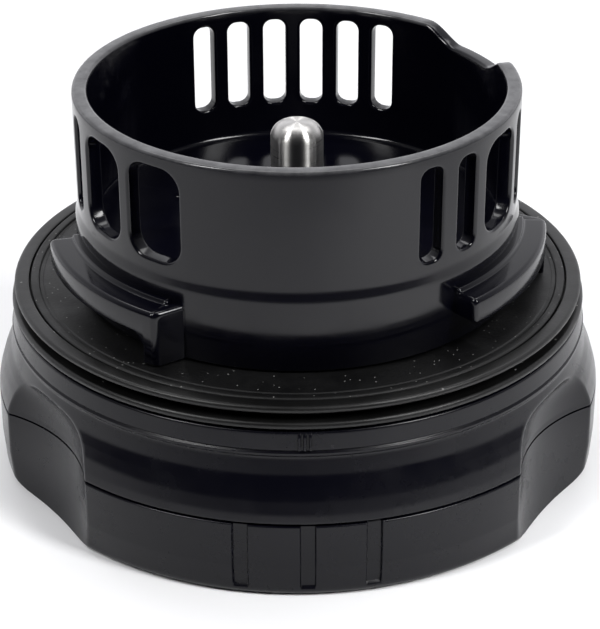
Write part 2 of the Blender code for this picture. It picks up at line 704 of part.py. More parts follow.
def motor_housing():
    """Cup that closes the motor in, with the stator tube and the screw columns."""
    inside = HOUSING_R - HOUSING_WALL
    tube = CORE_BORE - GAP
    tube_low = CORE_Z + 0.2
    profile = [(HOUSING_R - 0.5, HOUSING_TOP_Z), (HOUSING_R, HOUSING_TOP_Z - 0.5), (HOUSING_R, HOUSING_Z),
               (inside, HOUSING_Z), (inside, WALL_Z), (tube, WALL_Z), (tube, tube_low),
               (tube - TUBE_WALL, tube_low), (tube - TUBE_WALL, HOUSING_TOP_Z)]
    cup = turned("motor_housing", profile, MATTE_BLACK)
    places = around(COLUMN_CIRCLE, 3)
    columns = [rod(f"column_{i}", COLUMN_R + 0.4, HOUSING_Z, WALL_Z + 0.5, centre=p)
               for i, p in enumerate(places)]
    boolean(cup, join("housing_columns", columns), 'UNION')
    clear = SCREW_R + SCREW_CLEAR
    boolean(cup, holes("housing_pilots", clear, HOUSING_Z - 1.0, HOUSING_Z + 9.0, places))
    tops = around(COLUMN_CIRCLE, 3, HOUSING_SCREW_TURN)
    boolean(cup, holes("housing_holes", clear, WALL_Z - 1.0, HOUSING_TOP_Z + 1.0, tops))
    for i, place in enumerate(tops):
        screw(f"housing_screw_{i + 1}", place, WALL_Z - GAP - SCREW_HEAD_T, CARRIER_TOP - 2.0)
    x, y = polar(1.0, STOP_ANGLE)
    inner, outer = HOUSING_R - 2.9, COLLAR_BORE + STOP_SLOT_DEEP - 0.4
    pin = rod("twist_stop_pin", STOP_PIN_R, -(outer - inner) / 2, (outer - inner) / 2, STEEL)
    pin.rotation_euler = (math.pi / 2, 0.0, math.radians(STOP_ANGLE))
    middle = (outer + inner) / 2
    pin.location = (x * middle * MM, y * middle * MM, stop_height() * MM)
    drill = rod("stop_pin_drill", STOP_PIN_R + GAP, -4.0, 4.0)
    drill.rotation_euler = pin.rotation_euler
    drill.location = (x * HOUSING_R * MM, y * HOUSING_R * MM, stop_height() * MM)
    boolean(cup, drill)


def stop_height():
    """Height of the twist stop, halfway up the lower band."""
    return BAND_H * 0.66


# ---------------------------------------------------------------- base and electronics

def base_plate():
    """Bottom cover with the lower bearing seat, board posts and a cable opening."""
    seat_top = LOW_BEARING_Z + BEARING_T + 0.1
    seat_low = LOW_BEARING_Z - 0.2
    profile = [(PLATE_R, PLATE_TOP), (PLATE_R, PLATE_Z + 0.4), (PLATE_R - 0.4, PLATE_Z), (0.0, PLATE_Z)]
    profile = [(0.0, seat_low), (SEAT_R, seat_low), (SEAT_R, seat_top), (TOWER_R, seat_top),
               (TOWER_R, PLATE_TOP)] + profile
    plate = turned("base_plate", profile, SATIN_BLACK, closed=False)
    posts = around(BOARD_CIRCLE, 3, 30.0)
    rods = [rod(f"post_{i}", 2.4, PLATE_TOP - 0.5, BOARD_Z - GAP, centre=p) for i, p in enumerate(posts)]
    boolean(plate, join("board_posts", rods), 'UNION')
    clear = SCREW_R + SCREW_CLEAR
    boolean(plate, holes("board_pilots", clear, PLATE_TOP - 0.6, BOARD_Z + 1.0, posts))
    places = around(COLUMN_CIRCLE, 3)
    sink = PLATE_Z + GAP + SCREW_HEAD_T + 0.1
    boolean(plate, sunk_holes("plate_holes", PLATE_Z - 1.0, sink, PLATE_TOP + 1.0, places))
    inlet = polar(BOARD_CIRCLE, 180.0)
    boolean(plate, rod("inlet_drill", GROMMET_R + GAP, PLATE_Z - 1.0, PLATE_TOP + 1.0, centre=inlet))
    for i, place in enumerate(places):
        screw(f"base_screw_{i + 1}", place, PLATE_Z + GAP, HOUSING_Z + 8.0)
    flange = GROMMET_R + 1.3
    grommet = [(flange, BOARD_Z - 0.7), (flange, PLATE_TOP + GAP), (GROMMET_R, PLATE_TOP + GAP),
               (GROMMET_R, PLATE_Z + 0.2), (GROMMET_BORE + 0.5, PLATE_Z + 0.2),
               (GROMMET_BORE, PLATE_Z + 0.7), (GROMMET_BORE, BOARD_Z - 0.7)]
    seal = turned("cable_grommet", grommet, RUBBER, SEG_SMALL)
    seal.location = (inlet[0] * MM, inlet[1] * MM, 0.0)
    gasket = rect(HOUSING_R - HOUSING_WALL + 0.2, HOUSING_R - 0.2, GASKET_Z, GASKET_Z + GASKET_T)
    turned("base_gasket", gasket, RUBBER, SEG_INNER)
    control_board(posts, inlet)


def control_board(posts, inlet):
    """Ring-shaped motor board with its driver, two capacitors and three position sensors."""
    top = BOARD_Z + BOARD_T
    board = turned("control_board", rect(TOWER_R + 0.6, BELL_R - 0.5, BOARD_Z, top), BOARD, SEG_INNER)
    clear = SCREW_R + SCREW_CLEAR
    boolean(board, holes("board_holes", clear, BOARD_Z - 1.0, top + 1.0, posts))
    boolean(board, holes("board_wire_hole", 2.2, BOARD_Z - 1.0, top + 1.0, [inlet]))
    for i, place in enumerate(posts):
        screw(f"board_screw_{i + 1}", place, top + GAP + SCREW_HEAD_T, PLATE_TOP - 0.1)
    x, y = polar(BOARD_CIRCLE - 1.0, 0.0)
    block("driver_chip", (7.0, 7.0, 1.2), (x, y, top + GAP + 0.6), CHIP)
    for i, angle in enumerate((-60.0, 60.0)):
        x, y = polar(BOARD_CIRCLE - 1.0, angle)
        rod(f"capacitor_{i + 1}", 2.6, top + GAP, top + 3.4, CAN, (x, y), 20)
    for i, angle in enumerate((-112.0, -132.0, 112.0)):
        x, y = polar(BOARD_CIRCLE + 1.5, angle)
        block(f"hall_sensor_{i + 1}", (3.0, 1.6, 1.0), (x, y, top + GAP + 0.5), CHIP, angle)


# ---------------------------------------------------------------- grip collar

def shell_profile():
    """Outer side of the upper shell: upright neck, waist, then a shoulder that flares to the band."""
    neck = NECK_R
    lip, foot = LIP_Z, SHELL_Z
    waist = neck - 0.17
    return [(neck - 0.3, lip), (neck, lip - 0.3), (neck, lip - 2.6), (neck - 0.2, lip - 2.95),
            (neck + 0.2, lip - 3.3), (waist, lip - 5.2), (neck + 0.4, lip - 7.0), (neck + 1.15, lip - 8.1),
            (neck + 1.85, lip - 9.8), (neck + 2.5, foot + 1.3), (neck + 2.76, foot)]


def band_profile():
    """Outer side of the lower band: nearly upright, rounded at the foot."""
    return [(GRIP_R - 0.04, BAND_H), (GRIP_R, BAND_H * 0.72), (GRIP_R - 0.2, 2.0), (GRIP_R - 0.65, 0.6),
            (GRIP_R - 1.5, 0.0)]


def scoop_floor(z):
    """Radius of a scoop's deepest line: dished above its deep point, leaning out below it."""
    deep = GRIP_R - SCOOP_FLOOR
    if z > SCOOP_DEEP_Z:
        return deep + 0.038 * (z - SCOOP_DEEP_Z) ** 2
    return deep + SCOOP_LEAN * (SCOOP_DEEP_Z - z)


def grip_radius(radius, angle, z):
    """Outer radius of the collar at an angle: the turned profile, or a scoop's arc where that is deeper."""
    edge = GRIP_R * math.cos(math.radians(SCOOP_HALF))
    half = GRIP_R * math.sin(math.radians(SCOOP_HALF))
    floor = scoop_floor(z)
    sag = max(edge - floor, 0.05)
    arc = (half * half + sag * sag) / (2 * sag)
    centre = floor + arc
    best = radius
    for scoop in SCOOPS:
        away = math.radians((angle - GRIP_TURN - scoop + 180.0) % 360.0 - 180.0)
        reach = arc * arc - (centre * math.sin(away)) ** 2
        if abs(away) < math.radians(SCOOP_HALF + 6.0) and reach > 0.0:
            best = min(best, centre * math.cos(away) - math.sqrt(reach))
    return best


def lobed(name, outer, inner, mat):
    """A closed ring lofted through lobed outer sections and round inner ones."""
    bm = bmesh.new()
    rings = []
    angles = grip_angles()
    for radius, z in outer:
        row = [polar(grip_radius(radius, a, z), a) for a in angles]
        rings.append([bm.verts.new((x * MM, y * MM, z * MM)) for x, y in row])
    for radius, z in inner:
        row = [polar(radius, a) for a in angles]
        rings.append([bm.verts.new((x * MM, y * MM, z * MM)) for x, y in row])
    for low, high in zip(rings, rings[1:] + rings[:1]):
        for i in range(len(angles)):
            j = (i + 1) % len(angles)
            bm.faces.new((low[i], low[j], high[j], high[i]))
    return add(name, mesh_of(bm, name), mat)


def grip_angles():
    """Angles of the collar's sections: each lobe and each scoop in equal steps, corner to corner."""
    angles = []
    for mid, half in lobe_centres():
        angles += [mid - half + 2 * half * i / STEPS_LOBE for i in range(STEPS_LOBE)]
        angles += [mid + half + 2 * SCOOP_HALF * i / STEPS_SCOOP for i in range(STEPS_SCOOP)]
    return angles


def lobe_centres():
    """The middle of each lobe, between neighbouring scoops."""
    sides = sorted(s % 360.0 for s in SCOOPS)
    nexts = sides[1:] + [sides[0] + 360.0]
    return [((a + b) / 2 + GRIP_TURN, (b - a) / 2 - SCOOP_HALF) for a, b in zip(sides, nexts)]


def lobe_pockets(name, z0, z1):
    """Hollows in the lobes, on both sides of each collar screw."""
    wall = COLLAR_BORE + 1.9
    section = rect(wall, GRIP_R - 2.4, z0, z1)
    pockets = []
    for i, (mid, half) in enumerate(lobe_centres()):
        for side in (-1.0, 1.0):
            ends = sorted((mid + side * 6.0, mid + side * (half - 5.0)))
            pockets.append(sector(f"{name}_{i}_{int(side)}", section, ends[0], ends[1], step=12.0))
    return join(name, pockets)


def grip_collar():
    """Hand grip in two mouldings, an upper shell and a lower band, held by three screws."""
    shell_bore = [(COLLAR_BORE, SHELL_Z), (COLLAR_BORE, LEDGE_Z), (NECK_BORE, LEDGE_Z),
                  (NECK_BORE, LIP_Z - 0.3), (NECK_BORE + 0.3, LIP_Z)]
    shell = lobed("grip_shell", shell_profile(), shell_bore, SATIN_BLACK)
    band_bore = [(REBATE_R, 0.0), (REBATE_R, PLATE_TOP + GAP), (COLLAR_BORE, PLATE_TOP + GAP),
                 (COLLAR_BORE, BAND_H)]
    band = lobed("grip_band", band_profile(), band_bore, SATIN_BLACK)
    boolean(shell, lobe_pockets("shell_pockets", SHELL_Z - 1.0, SHELL_Z + 4.7))
    boolean(band, lobe_pockets("band_pockets", PLATE_TOP + GAP + 0.4, BAND_H + 1.0))
    places = [polar(COLLAR_SCREW_CIRCLE, mid) for mid, half in lobe_centres()]
    shank, head = COLLAR_SCREW_R, COLLAR_HEAD_R
    boolean(shell, holes("shell_pilots", shank + SCREW_CLEAR, SHELL_Z - 1.0, SHELL_Z + 5.2, places))
    head_z = PLATE_TOP + 2 * GAP
    sink = head_z + SCREW_HEAD_T + GAP
    boolean(band, sunk_holes("band_holes", -1.0, sink, BAND_H + 1.0, places, shank, head))
    for i, place in enumerate(places):
        screw(f"collar_screw_{i + 1}", place, head_z, SHELL_Z + 4.4, shank, head)
    boolean(band, groove_cutters())
    half = STOP_PIN_R + GAP
    middle = stop_height()
    section = rect(COLLAR_BORE - 1.0, COLLAR_BORE + STOP_SLOT_DEEP, middle - half, middle + half)
    spare = math.degrees(half / COLLAR_BORE)
    boolean(band, sector("stop_slot", section, STOP_ANGLE - TWIST_RANGE - spare, STOP_ANGLE + spare))
    for i in (-1, 0, 1):
        x, y = polar(NECK_R, INDEX_ANGLE + i * 1.0)
        size = (INDEX_RIB, 0.6, 2.9)
        rib = block(f"index_rib_{i + 1}", size, (x, y, LIP_Z - 1.75), angle=INDEX_ANGLE + i)
        boolean(shell, rib, 'UNION')


def groove_cutters():
    """Three shallow upright grooves in the front of the band."""
    tall = BAND_H - GROOVE_FOOT + 1.0
    cutters = []
    for i, angle in enumerate(GROOVES):
        x, y = polar(GRIP_R + 1.0, angle)
        size = (GROOVE_W, 2.0 + 2 * GROOVE_DEEP, tall)
        centre = (x, y, GROOVE_FOOT + tall / 2)
        cutters.append(block(f"groove_{i}", size, centre, angle=angle))
    return join("groove_cutters", cutters)


# ---------------------------------------------------------------- assembly

MOVING = {
    "rotor_axis": ("drive_shaft", "rotor_bell", "ring_magnet", "upper_circlip", "lower_circlip",
                   "upper_bearing_inner_race", "lower_bearing_inner_race"),
    "upper_ball_axis": ("upper_bearing_ball_cage",),
    "lower_ball_axis": ("lower_bearing_ball_cage",),
    "grip_collar_axis": ("grip_shell", "grip_band", "collar_screw_1", "collar_screw_2", "collar_screw_3"),
}


def hang_on_axes():
    """Parent every moving piece to an empty on the drive axis."""
    for axis, pieces in MOVING.items():
        empty = bpy.data.objects.new(axis, None)
        PARTS.objects.link(empty)
        for piece in pieces:
            PARTS.objects[piece].parent = empty


def shade_parts():
    """Smooth shading on every part."""
    for obj in PARTS.objects:
        if obj.type == 'MESH' and obj.data.polygons:
            smooth(obj)


def build():
    """Make every piece of the drive unit."""
    impeller_cage()
    seal_carrier()
    cage_o_ring()
    shaft_seal()
    ball_bearing("upper_bearing", UP_BEARING_Z)
    ball_bearing("lower_bearing", LOW_BEARING_Z)
    circlip("upper_circlip", UP_CLIP_Z)
    circlip("lower_circlip", LOW_CLIP_Z)
    drive_shaft()
    preload_washer()
    rotor()
    stator()
    motor_housing()
    base_plate()
    grip_collar()
    hang_on_axes()
    shade_parts()


build()
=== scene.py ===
# %% [markdown]
# # The drive unit of a wave maker pump
#
# This is the end of a pump that twists out for cleaning: a slotted cage for the impeller, a sealed flange,
# a polished shaft and a black grip collar. The solid model gives every piece its size and place. Here each
# surface that can be seen is made again, finer, and each piece gets the finish of the real one.

# %% Load the frame
import json
import math

import bmesh
import bpy
import numpy as np
from mathutils import Matrix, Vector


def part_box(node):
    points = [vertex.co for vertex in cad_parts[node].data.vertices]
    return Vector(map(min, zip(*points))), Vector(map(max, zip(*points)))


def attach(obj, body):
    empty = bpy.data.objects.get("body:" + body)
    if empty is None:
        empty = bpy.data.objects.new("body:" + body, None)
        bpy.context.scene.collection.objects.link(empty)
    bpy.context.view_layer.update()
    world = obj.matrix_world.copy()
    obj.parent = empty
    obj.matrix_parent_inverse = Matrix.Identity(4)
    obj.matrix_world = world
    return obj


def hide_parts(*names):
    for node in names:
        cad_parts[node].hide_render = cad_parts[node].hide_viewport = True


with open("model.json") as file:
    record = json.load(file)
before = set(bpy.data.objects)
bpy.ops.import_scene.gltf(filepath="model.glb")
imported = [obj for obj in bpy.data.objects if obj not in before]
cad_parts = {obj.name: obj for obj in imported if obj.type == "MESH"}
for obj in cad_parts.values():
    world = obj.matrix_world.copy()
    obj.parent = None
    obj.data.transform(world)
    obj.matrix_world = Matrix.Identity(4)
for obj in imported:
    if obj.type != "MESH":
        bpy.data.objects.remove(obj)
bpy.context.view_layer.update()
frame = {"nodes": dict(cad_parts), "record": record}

MM = 0.001                   # metres; all sizes below are in millimetres unless they say otherwise

# %% [markdown]
# ## The camera
#
# A long lens from the front, looking down on the unit, so that the cage's floor, the flange and the front of
# the grip all show. The camera comes first, because everything after it is judged through it.

# %% Camera
CAMERA_PLACE = (-0.00072, -0.2961, 0.1792)
CAMERA_TILT = 28.19          # degrees below the horizon
CAMERA_ROLL = -0.29
LENS = 122.7
SHIFT = 0.0111

camera = bpy.data.objects.new("camera", bpy.data.cameras.new("camera"))
bpy.context.scene.collection.objects.link(camera)
tilt = Matrix.Rotation(math.radians(90.0 - CAMERA_TILT), 4, 'X')
roll = Matrix.Rotation(math.radians(CAMERA_ROLL), 4, 'Z')
camera.matrix_world = Matrix.Translation(CAMERA_PLACE) @ tilt @ roll
camera.data.lens = LENS
camera.data.shift_x = SHIFT
bpy.context.scene.camera = camera
print("lens", LENS, "mm, tilt", CAMERA_TILT, "degrees")

# %% [markdown]
# ## Levels and radii from the frame
#
# The frame knows how high each piece stands. The levels below are read from it in millimetres, so that a
# fine piece always sits where its solid does.

# %% Levels


def span(node):
    """Lowest and highest corner of a node, in millimetres."""
    low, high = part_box(node)
    return np.array(low) / MM, np.array(high) / MM


cage_low, cage_high = span("impeller_cage")
carrier_low, carrier_high = span("seal_carrier")
shaft_low, shaft_high = span("drive_shaft")
shell_low, shell_high = span("grip_shell")
band_low, band_high = span("grip_band")
seal_low, seal_high = span("shaft_seal")
plate_low, plate_high = span("base_plate")
upper_ring = span("upper_seal_ring")
lower_ring = span("lower_seal_ring")

RIM_Z = cage_high[2]
CAGE_Z = cage_low[2]
CARRIER_TOP = CAGE_Z - 0.3
CARRIER_R = (carrier_high[0] - carrier_low[0]) / 2
FLOOR_TOP = seal_high[2] - 0.1
SHAFT_R = (shaft_high[0] - shaft_low[0]) / 2
GRIP_R = min(band_high[0], -band_low[0], -band_low[1]) - 0.02
SEAL_R = (seal_high[0] - seal_low[0]) / 2
print(f"rim {RIM_Z:.2f}, cage foot {CAGE_Z:.2f}, shaft top {shaft_high[2]:.2f}, grip radius {GRIP_R:.2f} mm")

# %% [markdown]
# ## Surfaces from whole arrays
#
# Every new piece is a grid of points, or a few grids that share their borders. One direction of a grid runs
# round the drive axis, the other follows a profile. The helper below turns grids into one closed skin: it
# numbers the corners of all quads at once, then welds the borders.

# %% Grids and skins
WELD = 2e-6                  # metres
CREASE = 38.0                # degrees


def on_ring(radius, angle, height):
    """Points round the drive axis: x is radius times sine of the angle, y is minus radius times its cosine.

    The angle is in degrees from the front towards the right, seen from the front.
    """
    a = np.radians(angle)
    flat = np.broadcast_arrays(radius * np.sin(a), -radius * np.cos(a), height)
    return np.stack(flat, axis=-1) * MM


def quads(rows, cols, wrap_rows, wrap_cols, first):
    """Corner numbers of a grid's quads: each point, its right neighbour, and the two above them."""
    i = np.arange(rows if wrap_rows else rows - 1)[:, None]
    j = np.arange(cols if wrap_cols else cols - 1)[None, :]
    up, right = (i + 1) % rows, (j + 1) % cols
    corners = (i * cols + j, i * cols + right, up * cols + right, up * cols + j)
    return np.stack(np.broadcast_arrays(*corners), axis=-1).reshape(-1, 4) + first


def skin(name, grids, caps=()):
    """One welded object from (points, wrap rows, wrap columns) grids; a cap closes a grid's end row."""
    points, faces, first = [], [], 0
    for grid, wrap_rows, wrap_cols in grids:
        rows, cols = grid.shape[:2]
        faces += quads(rows, cols, wrap_rows, wrap_cols, first).tolist()
        points.append(grid.reshape(-1, 3))
        first += rows * cols
    faces += [list(cap) for cap in caps]
    mesh = bpy.data.meshes.new(name)
    mesh.from_pydata(np.concatenate(points).tolist(), [], faces)
    return finished(name, mesh)


def finished(name, mesh):
    """Weld a mesh, point its faces outwards, shade it smooth and put it in the scene."""
    bm = bmesh.new()
    bm.from_mesh(mesh)
    bmesh.ops.remove_doubles(bm, verts=bm.verts, dist=WELD)
    bmesh.ops.recalc_face_normals(bm, faces=bm.faces)
    loose = sum(1 for e in bm.edges if len(e.link_faces) != 2)
    bm.to_mesh(mesh)
    bm.free()
    mesh.shade_smooth()
    mesh.set_sharp_from_angle(angle=math.radians(CREASE))
    obj = bpy.data.objects.new(name, mesh)
    bpy.context.scene.collection.objects.link(obj)
    print(f"{name}: {len(mesh.polygons)} faces, {loose} open edges")
    return obj


# %% [markdown]
# A moulded or turned edge is never perfectly sharp. `rounded` takes an outline of corners and puts a small
# arc at each one: the arc touches both edges, and its centre lies on the line that halves the corner.

# %% Rounded outlines and turned skins
FINE = 288                   # points round a turned piece
QUARTER = np.radians(np.linspace(0, 90, 7))


def rounded(corners, radii, steps=5):
    """A closed outline whose corners are arcs.

    Each arc's centre is the corner moved along its bisector by radius / sin(half the corner's angle), and
    the arc sweeps from one edge's foot point to the other's.
    """
    p = np.array(corners, float)
    r = np.broadcast_to(np.array(radii, float), len(p))[:, None]
    u, v = np.roll(p, 1, axis=0) - p, np.roll(p, -1, axis=0) - p
    u /= np.linalg.norm(u, axis=1, keepdims=True)
    v /= np.linalg.norm(v, axis=1, keepdims=True)
    half = np.arccos(np.clip((u * v).sum(1, keepdims=True), -1, 1)) / 2
    halfway = (u + v) / np.linalg.norm(u + v, axis=1, keepdims=True)
    centre = p + halfway * r / np.sin(half)
    start, end = p + u * r / np.tan(half) - centre, p + v * r / np.tan(half) - centre
    a0, a1 = np.arctan2(start[:, 1], start[:, 0]), np.arctan2(end[:, 1], end[:, 0])
    sweep = (a1 - a0 + np.pi) % (2 * np.pi) - np.pi
    a = a0[:, None] + sweep[:, None] * np.linspace(0, 1, steps + 1)
    arcs = centre[:, None] + r[:, None] * np.stack((np.cos(a), np.sin(a)), axis=-1)
    return arcs.reshape(-1, 2)


def lathe(outline, angles=None):
    """A (radius, height) outline carried round the axis: one row of points for each point of the outline."""
    if angles is None:
        angles = np.linspace(0, 360, FINE, endpoint=False)
    return on_ring(outline[:, :1], angles, outline[:, 1:])


def turned(name, corners, radii, closed=True, steps=5):
    """A turned piece. Its outline runs up the outside, inwards over the top and down the inside."""
    outline = rounded(corners, radii, steps)
    return skin(name, [(lathe(outline), closed, True)])


# %% [markdown]
# ## Finishes as node groups
#
# Black plastic is only interesting through what disturbs it: a fine grain, slow waves left by the mould,
# smudges that change the gloss, dust on what faces up, and edges made lighter, partly as wear and partly as
# painted highlight. Each effect is one node group, used by every material with its own values.

# %% Helpers for shader nodes


def node_group(name, inputs, outputs):
    """An empty shader node group with named sockets, and its input and output nodes."""
    tree = bpy.data.node_groups.new(name, 'ShaderNodeTree')
    for label, value in inputs.items():
        socket = tree.interface.new_socket(name=label, in_out='INPUT', socket_type='NodeSocketFloat')
        socket.default_value = value
    for label in outputs:
        tree.interface.new_socket(name=label, in_out='OUTPUT', socket_type='NodeSocketFloat')
    return tree, tree.nodes.new("NodeGroupInput"), tree.nodes.new("NodeGroupOutput")


def add_node(tree, kind, links=(), **values):
    """A node with its properties set, and its inputs fed from other sockets or given values."""
    node = tree.nodes.new(kind)
    for key, value in values.items():
        setattr(node, key, value)
    for label, source in dict(links).items():
        if isinstance(source, bpy.types.NodeSocket):
            tree.links.new(source, node.inputs[label])
        else:
            node.inputs[label].default_value = source
    return node


def maths(tree, operation, a, b, clamp=False):
    """The output of a Math node of two inputs."""
    return add_node(tree, "ShaderNodeMath", {0: a, 1: b}, operation=operation, use_clamp=clamp).outputs[0]


def place(tree):
    """The object coordinates, which are metres in the unit's own frame."""
    return add_node(tree, "ShaderNodeTexCoord").outputs["Object"]


def noise(tree, scale, detail=2.0, rough=0.5):
    """A noise value between 0 and 1; the scale is in features per metre."""
    links = {"Vector": place(tree), "Scale": scale, "Detail": detail, "Roughness": rough}
    return add_node(tree, "ShaderNodeTexNoise", links).outputs["Fac"]


# %% [markdown]
# A mould leaves two marks at once: a grain too fine to see as dots, and slow waves where the plastic shrank.
# Both are noise of different scale, and their sum is a height for a bump. Fingers leave smudges, which change
# the gloss and not the shape, so a third noise goes to the roughness.

# %% Grain, waves and smudges
grain_group, given, out = node_group(
    "moulded_grain", {"Grain": 0.3, "Grain scale": 3500.0, "Waves": 0.3}, ["Height"])
dots = noise(grain_group, given.outputs["Grain scale"])
fine = maths(grain_group, 'MULTIPLY', dots, given.outputs["Grain"])
slow = maths(grain_group, 'MULTIPLY', noise(grain_group, 90.0, 1.0), given.outputs["Waves"])
grain_group.links.new(maths(grain_group, 'ADD', fine, slow), out.inputs["Height"])

smudge_group, given, out = node_group("smudges", {"Low": 0.1, "High": 0.3, "Scale": 120.0}, ["Roughness"])
patches = noise(smudge_group, given.outputs["Scale"], 5.0, 0.62)
links = {"Value": patches, "From Min": 0.35, "From Max": 0.68, "To Min": given.outputs["Low"],
         "To Max": given.outputs["High"]}
spread = add_node(smudge_group, "ShaderNodeMapRange", links)
smudge_group.links.new(spread.outputs[0], out.inputs["Roughness"])
print("made", grain_group.name, "and", smudge_group.name)

# %% [markdown]
# Dust lies on what faces up. Each cell of a Voronoi texture may hold one round speck near its middle, a share
# of the cells is chosen by their own random colour, and the surface's normal says whether dust can lie there.
# Rubbed edges, lighter as wear and as painted highlight, use Pointiness, which is above a half where a surface
# bends outwards.

# %% Dust specks, and rubbed edges with painted highlight
dust_group, given, out = node_group("dust", {"Amount": 0.3, "Scale": 900.0, "Speck": 0.16}, ["Mask"])
links = {"Vector": place(dust_group), "Scale": given.outputs["Scale"]}
cells = add_node(dust_group, "ShaderNodeTexVoronoi", links)
near = maths(dust_group, 'LESS_THAN', cells.outputs["Distance"], given.outputs["Speck"])
lot = add_node(dust_group, "ShaderNodeSeparateColor", {0: cells.outputs["Color"]}).outputs[0]
chosen = maths(dust_group, 'LESS_THAN', lot, given.outputs["Amount"])
normal = add_node(dust_group, "ShaderNodeNewGeometry").outputs["Normal"]
upward = add_node(dust_group, "ShaderNodeSeparateXYZ", {0: normal}).outputs["Z"]
lying = add_node(dust_group, "ShaderNodeMapRange", {"Value": upward, "From Min": 0.1, "From Max": 0.9})
specks = maths(dust_group, 'MULTIPLY', maths(dust_group, 'MULTIPLY', near, chosen), lying.outputs[0])
dust_group.links.new(specks, out.inputs["Mask"])

edge_wear_and_highlight_group, given, out = node_group("rubbed_and_highlit_edges", {"Amount": 0.5, "Start": 0.53}, ["Mask"])
bend = add_node(edge_wear_and_highlight_group, "ShaderNodeNewGeometry").outputs["Pointiness"]
links = {"Value": bend, "From Min": given.outputs["Start"], "From Max": 0.62}
edge = add_node(edge_wear_and_highlight_group, "ShaderNodeMapRange", links).outputs[0]
broken = maths(edge_wear_and_highlight_group, 'MULTIPLY', edge, noise(edge_wear_and_highlight_group, 700.0, 4.0, 0.6))
edge_wear_and_highlight_group.links.new(maths(edge_wear_and_highlight_group, 'MULTIPLY', broken, given.outputs["Amount"]), out.inputs["Mask"])
print("made", dust_group.name, "and", edge_wear_and_highlight_group.name)

# %% [markdown]
# ## Materials
#
# The moulded black parts differ only in gloss and grain: the cage is nearly polished, the grip is satin, the
# flange is matt and dusty. One function makes all of them from those numbers. Rubber, steel, copper and the
# board each need one more thing of their own.

# %% Helpers for materials


def use_group(tree, group, **values):
    """A group node with some of its inputs set."""
    node = tree.nodes.new("ShaderNodeGroup")
    node.node_tree = group
    for label, value in values.items():
        node.inputs[label.replace("_", " ")].default_value = value
    return node.outputs[0]


def new_material(name):
    """A material with its node tree and its Principled shader."""
    mat = bpy.data.materials.new(name)
    mat.use_nodes = True
    return mat, mat.node_tree, mat.node_tree.nodes["Principled BSDF"]


def blend_colour(tree, mask, below, above):
    """One colour over another by a mask."""
    node = add_node(tree, "ShaderNodeMix", {"Factor": mask}, data_type='RGBA')
    for socket, value in ((6, below), (7, above)):
        if isinstance(value, bpy.types.NodeSocket):
            tree.links.new(value, node.inputs[socket])
        else:
            node.inputs[socket].default_value = (*value, 1.0)
    return node.outputs[2]


def bumped(tree, shader, height, distance):
    """Feed a height into the shader's normal."""
    bump = add_node(tree, "ShaderNodeBump", {"Height": height, "Distance": distance, "Strength": 1.0})
    tree.links.new(bump.outputs[0], shader.inputs["Normal"])


# %% Moulded plastic and rubber
DUST_GREY = (0.16, 0.16, 0.155)


def moulded(name, colour, gloss, grain, dust, wear_and_highlight, specular=0.5, relief=0.00002):
    """Black moulded stuff: gloss is (low, high) roughness, grain is (height, scale, waves)."""
    mat, tree, shader = new_material(name)
    rubbed_and_highlit = use_group(tree, edge_wear_and_highlight_group, Amount=wear_and_highlight)
    specks = use_group(tree, dust_group, Amount=dust[0], Scale=dust[1])
    # convex edges lightened: wear, and painted highlight along the edges
    worn_and_highlit = blend_colour(tree, rubbed_and_highlit, colour, tuple(2.0 * c + 0.008 for c in colour))
    tree.links.new(blend_colour(tree, specks, worn_and_highlit, DUST_GREY), shader.inputs["Base Color"])
    tree.links.new(use_group(tree, smudge_group, Low=gloss[0], High=gloss[1]), shader.inputs["Roughness"])
    shader.inputs["Specular IOR Level"].default_value = specular
    height = use_group(tree, grain_group, Grain=grain[0], Grain_scale=grain[1], Waves=grain[2])
    bumped(tree, shader, height, relief)
    return mat


CAGE_BLACK = moulded("cage_gloss_black", (0.0012, 0.0012, 0.0036), (0.10, 0.20), (0.10, 5200.0, 1.0),
                     (0.02, 700.0), 0.5, 0.34)
GRIP_BLACK = moulded("grip_satin_black", (0.0013, 0.0013, 0.0036), (0.20, 0.32), (0.08, 4200.0, 0.6),
                     (0.02, 650.0), 0.2, 0.27)
FLANGE_BLACK = moulded("flange_matt_black", (0.0012, 0.0012, 0.0014), (0.42, 0.60), (1.6, 2600.0, 0.3),
                       (0.22, 1400.0), 0.4, 0.35)
HIDDEN_BLACK = moulded("housing_matt_black", (0.012, 0.012, 0.013), (0.45, 0.65), (1.2, 2600.0, 0.3),
                       (0.05, 900.0), 0.4)
RUBBER = moulded("seal_rubber", (0.003, 0.003, 0.003), (0.32, 0.48), (0.8, 1900.0, 0.5),
                 (0.08, 900.0), 0.2, 0.4)
print("moulded:", [m.name for m in (CAGE_BLACK, GRIP_BLACK, FLANGE_BLACK, HIDDEN_BLACK, RUBBER)])

# %% [markdown]
# The rim's light grey edge all round is painted highlight: its colour is lightened near the top of the rim.
# The mask is the height above a level, broken up by noise.

# %% Painted rim highlight
RIM_HIGHLIGHT_FADE = 0.0006            # metres below the rim where the painted highlight starts


def paint_rim_highlight(mat, height, fade, tone):
    """Paint a highlight: lighten what stands above a height in broken patches, the light edge along the rim.
    """
    tree = mat.node_tree
    colour = tree.nodes["Principled BSDF"].inputs["Base Color"]
    z = add_node(tree, "ShaderNodeSeparateXYZ", {0: place(tree)}).outputs["Z"]
    share = add_node(tree, "ShaderNodeMapRange", {"Value": z, "From Min": height - fade, "From Max": height})
    patches = maths(tree, 'MULTIPLY', share.outputs[0], noise(tree, 420.0, 4.0, 0.6))
    tree.links.new(blend_colour(tree, patches, colour.links[0].from_socket, tone), colour)


# painted highlight: the rim's top edge lightened to light grey all round
paint_rim_highlight(CAGE_BLACK, RIM_Z * MM, RIM_HIGHLIGHT_FADE, (0.15, 0.15, 0.155))
print(f"rim highlight painted above {RIM_Z - RIM_HIGHLIGHT_FADE / MM:.2f} mm")

